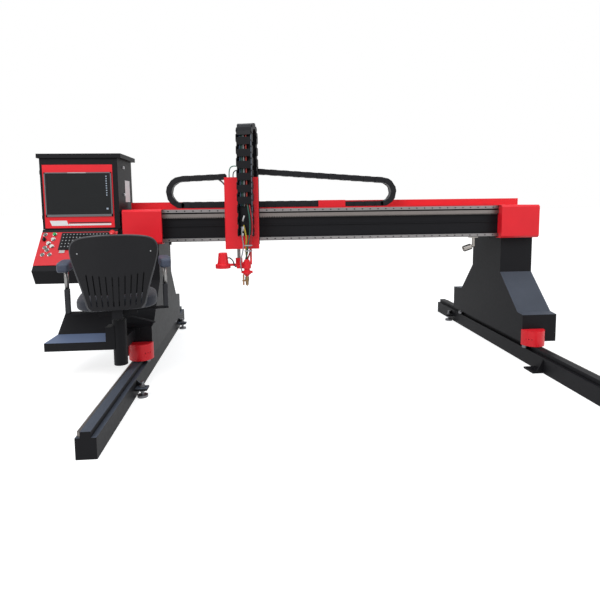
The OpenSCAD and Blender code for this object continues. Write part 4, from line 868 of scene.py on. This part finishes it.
class CUTTER_OT_console(bpy.types.Operator):
    """Dresses the console: monitor, stripe, panel lamps and plate, key marks, side locks and side plate"""

    bl_idname = "cutter.console"
    bl_label = "Console"

    def plates(self, name, outlines, material, front, back):
        """Flat plates on the door, as outlines seen from the front."""
        bm = bmesh.new()
        for outline in outlines:
            add_prism(bm, outline, on_gantry(0, 0, 0), X, UP, Y, front, back)
        flat_piece(name, bm, material, "door")

    def door(self):
        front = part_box("monitor")[0][1]
        left, right, low, high = -2.061, -1.602, 1.105, 1.415
        top_edge, side_edge, low_edge, icon_step = 0.007, 0.008, 0.016, 0.0165
        frame = [rect(left, right, high - top_edge, high), rect(left, left + side_edge, low, high),
                 rect(right - side_edge, right, low, high), rect(left, right, low, low + low_edge)]
        self.plates("monitor_frame", frame, coated("monitor frame", (0.135, 0.135, 0.145), 0.35),
                    front - 0.002, front - 0.0002)
        self.plates("screen_glass", [rect(-2.0405, -1.6215, 1.149, 1.403)], screen_glass(),
                    front + 0.0012, front + 0.0029)
        self.plates("monitor_strip", [rect(-1.899, -1.774, 1.4092, 1.4135)],
                    coated("pale strip", (0.50, 0.50, 0.50), 0.4), front - 0.0026, front - 0.002)
        dots = [rect(-1.642, -1.634, 1.382 - icon_step * k, 1.390 - icon_step * k) for k in range(9)]
        self.plates("screen_icons", dots + [rect(-1.645, -1.631, 1.153, 1.165)],
                    coated("screen icons", (0.34, 0.40, 0.48), 0.3), front + 0.0008, front + 0.0012)
        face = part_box("console_fascia")[0][1]
        stripe = [[(-2.026, 1.042), (-1.912, 1.042), (-1.924, 1.078), (-2.040, 1.078)],
                  rect(-1.912, -1.618, 1.042, 1.055)]
        self.plates("fascia_stripe", stripe, coated("stripe white", (0.74, 0.73, 0.73), 0.35),
                    face - 0.0008, face)
        # A dark line just above the stripe's long bar: a painted shadow
        self.plates("fascia_shadow", [rect(-1.905, -1.618, 1.0585, 1.0655)],
                    coated("painted shadow black", (0.02, 0.018, 0.02), 0.4), face - 0.0007, face)

    def panel(self):
        slope = (on_panel(0, 1) - on_panel(0, 0)).normalized()
        flat = (X, slope, X.cross(slope))
        rings, caps, plate, marks = bmesh.new(), bmesh.new(), bmesh.new(), bmesh.new()
        for across, up in ((91, 209), (66, 176), (93, 151), (93, 250)):
            place = on_panel(across / 1000, up / 1000)
            add_ring(rings, place, *flat, 0.0066, RING_OUTER, PANEL_FACE, RING_TOP)
        for across, up in ((48, 142), (66, 122), (44, 84), (91, 84), (28, 250)):
            place = on_panel(across / 1000, up / 1000)
            add_ring(rings, place, *flat, 0.0112, RING_OUTER, PANEL_FACE, RING_TOP)
            add_prism(caps, circle(0.0113), place, *flat, PANEL_FACE, 0.0124)
        flat_piece("button_rings", rings, metal("ring chrome", (0.62, 0.63, 0.65), 0.25), "gantry")
        flat_piece("lamp_caps", caps, coated("lamp cap", (0.13, 0.14, 0.12), 0.3), "gantry")
        plain = rect(-0.0185, 0.0185, -0.0115, 0.0115)
        add_prism(plate, plain, on_panel(0.169, 0.106), *flat, 0.0070, 0.0080)
        flat_piece("panel_plate", plate, coated("pale plate", (0.40, 0.37, 0.36), 0.4), "gantry")
        columns, rows = 14, 5
        left, low, wide, deep = 0.150, 0.127, 0.314, 0.126
        for i in range(columns):
            for j in range(rows):
                key = on_panel(left + (i + 0.5) * wide / columns, low + (j + 0.5) * deep / rows)
                add_prism(marks, rect(-0.003, 0.003, -0.002, 0.004), key, *flat, 0.0179, 0.0182)
        flat_piece("key_marks", marks, moulded("key mark", (0.34, 0.35, 0.36), 0.5), "gantry")

    def cabinet_side(self):
        wall = Vector((CABINET_RIGHT, 0, 0))
        locks, label = bmesh.new(), bmesh.new()
        for z in (1.448, 1.25006):
            add_prism(locks, rect(0.0515, 0.0925, z - 0.0005, z + 0.0185), wall, Y, UP, X, 0.0001, 0.0054)
            add_prism(locks, circle(0.0073), wall + Vector((0, 0.062, z + 0.009)), Y, UP, X, 0.0001, 0.0099)
        flat_piece("side_locks", locks, metal("lock chrome", (0.46, 0.46, 0.48), 0.28), "gantry")
        add_prism(label, rect(0.105, 0.230, 1.205, 1.365), wall, Y, UP, X, 0.0001, 0.0009)
        flat_piece("side_label", label, coated("label", (0.60, 0.61, 0.62), 0.4), "gantry")

    def execute(self, context):
        self.door()
        self.panel()
        self.cabinet_side()
        return {"FINISHED"}


class CUTTER_OT_stage(bpy.types.Operator):
    """Sets the pale floor, the world, the soft lights and the camera"""

    bl_idname = "cutter.stage"
    bl_label = "Stage"

    def floor(self, size):
        net = material_net("floor")
        x, y = (net.part(net.place(), axis) for axis in "XY")
        dimming = FLOOR_DIM * (FLOOR_FADE / (x * x + y * y + FLOOR_FADE))
        pale = net.mix(net.noise(0.8), rgba((0.54, 0.54, 0.54)), rgba((0.56, 0.56, 0.56)))
        net.set(Base_Color=pale, Roughness=0.9, Emission_Color=net.seen() * (1 - dimming),
                Emission_Strength=1.0)
        bm = bmesh.new()
        bmesh.ops.create_grid(bm, x_segments=1, y_segments=1, size=size)
        floor = round_piece("floor", bm, net.owner)
        floor.location.z = -0.0005

    def lights(self, scene):
        sky = Net(bpy.data.worlds.new("studio"), "Background")
        sky.set(Color=(1, 1, 1, 1), Strength=WORLD_LIGHT + (1 - WORLD_LIGHT) * sky.seen())
        scene.world = sky.owner
        for name, place, target, size, power, color in LAMPS:
            light = bpy.data.lights.new(name, "AREA")
            light.size = size
            light.energy = power
            light.color = color
            lamp = bpy.data.objects.new(name, light)
            scene.collection.objects.link(lamp)
            lamp.location = place
            lamp.rotation_euler = (Vector(target) - Vector(place)).to_track_quat("-Z", "Y").to_euler()

    def camera(self, scene, lens, place):
        camera = bpy.data.cameras.new("camera")
        camera.lens = lens
        camera.sensor_width = 36
        camera.shift_x, camera.shift_y = EYE_SHIFT
        camera.clip_end = 200
        eye = bpy.data.objects.new("camera", camera)
        scene.collection.objects.link(eye)
        axes = (EYE_RIGHT, EYE_RIGHT.cross(EYE_FORWARD), -EYE_FORWARD, Vector(place))
        eye.matrix_world = Matrix([[axis[row] for axis in axes] for row in range(3)] + [[0, 0, 0, 1]])
        scene.camera = eye

    def execute(self, context):
        have = context.scene.cutter_stage
        self.floor(have.floor)
        self.lights(context.scene)
        self.camera(context.scene, have.lens, have.camera)
        context.scene.view_settings.view_transform = "Standard"
        return {"FINISHED"}


class CUTTER_PT_panel(bpy.types.Panel):
    """Buttons and settings of the cutting machine"""

    bl_idname = "CUTTER_PT_panel"
    bl_label = "Cutting machine"
    bl_space_type = "VIEW_3D"
    bl_region_type = "UI"
    bl_category = "Cutting machine"

    def draw(self, context):
        for name in ("chain_pitch", "chain_height", "chain_width", "hose", "red", "black"):
            self.layout.prop(context.scene.cutter, name)
        for name in ("lens", "camera", "floor"):
            self.layout.prop(context.scene.cutter_stage, name)
        for operator in STEPS:
            self.layout.operator(operator.bl_idname)


STEPS = (CUTTER_OT_finishes, CUTTER_OT_beam_chains, CUTTER_OT_lift_chain, CUTTER_OT_hoses, CUTTER_OT_seat,
         CUTTER_OT_guide_bolts, CUTTER_OT_sheet_metal, CUTTER_OT_console, CUTTER_OT_stage)
CLASSES = (MachineSettings, StageSettings) + STEPS + (CUTTER_PT_panel,)


def register():
    for cls in CLASSES:
        bpy.utils.register_class(cls)
    bpy.types.Scene.cutter = bpy.props.PointerProperty(type=MachineSettings)
    bpy.types.Scene.cutter_stage = bpy.props.PointerProperty(type=StageSettings)


def unregister():
    del bpy.types.Scene.cutter_stage
    del bpy.types.Scene.cutter
    for cls in reversed(CLASSES):
        bpy.utils.unregister_class(cls)


def main():
    register()
    bpy.ops.cutter.finishes()
    bpy.ops.cutter.beam_chains()
    bpy.ops.cutter.lift_chain()
    bpy.ops.cutter.hoses()
    bpy.ops.cutter.seat()
    bpy.ops.cutter.guide_bolts()
    bpy.ops.cutter.sheet_metal()
    bpy.ops.cutter.console()
    bpy.ops.cutter.stage()


if __name__ == "__main__":
    main()
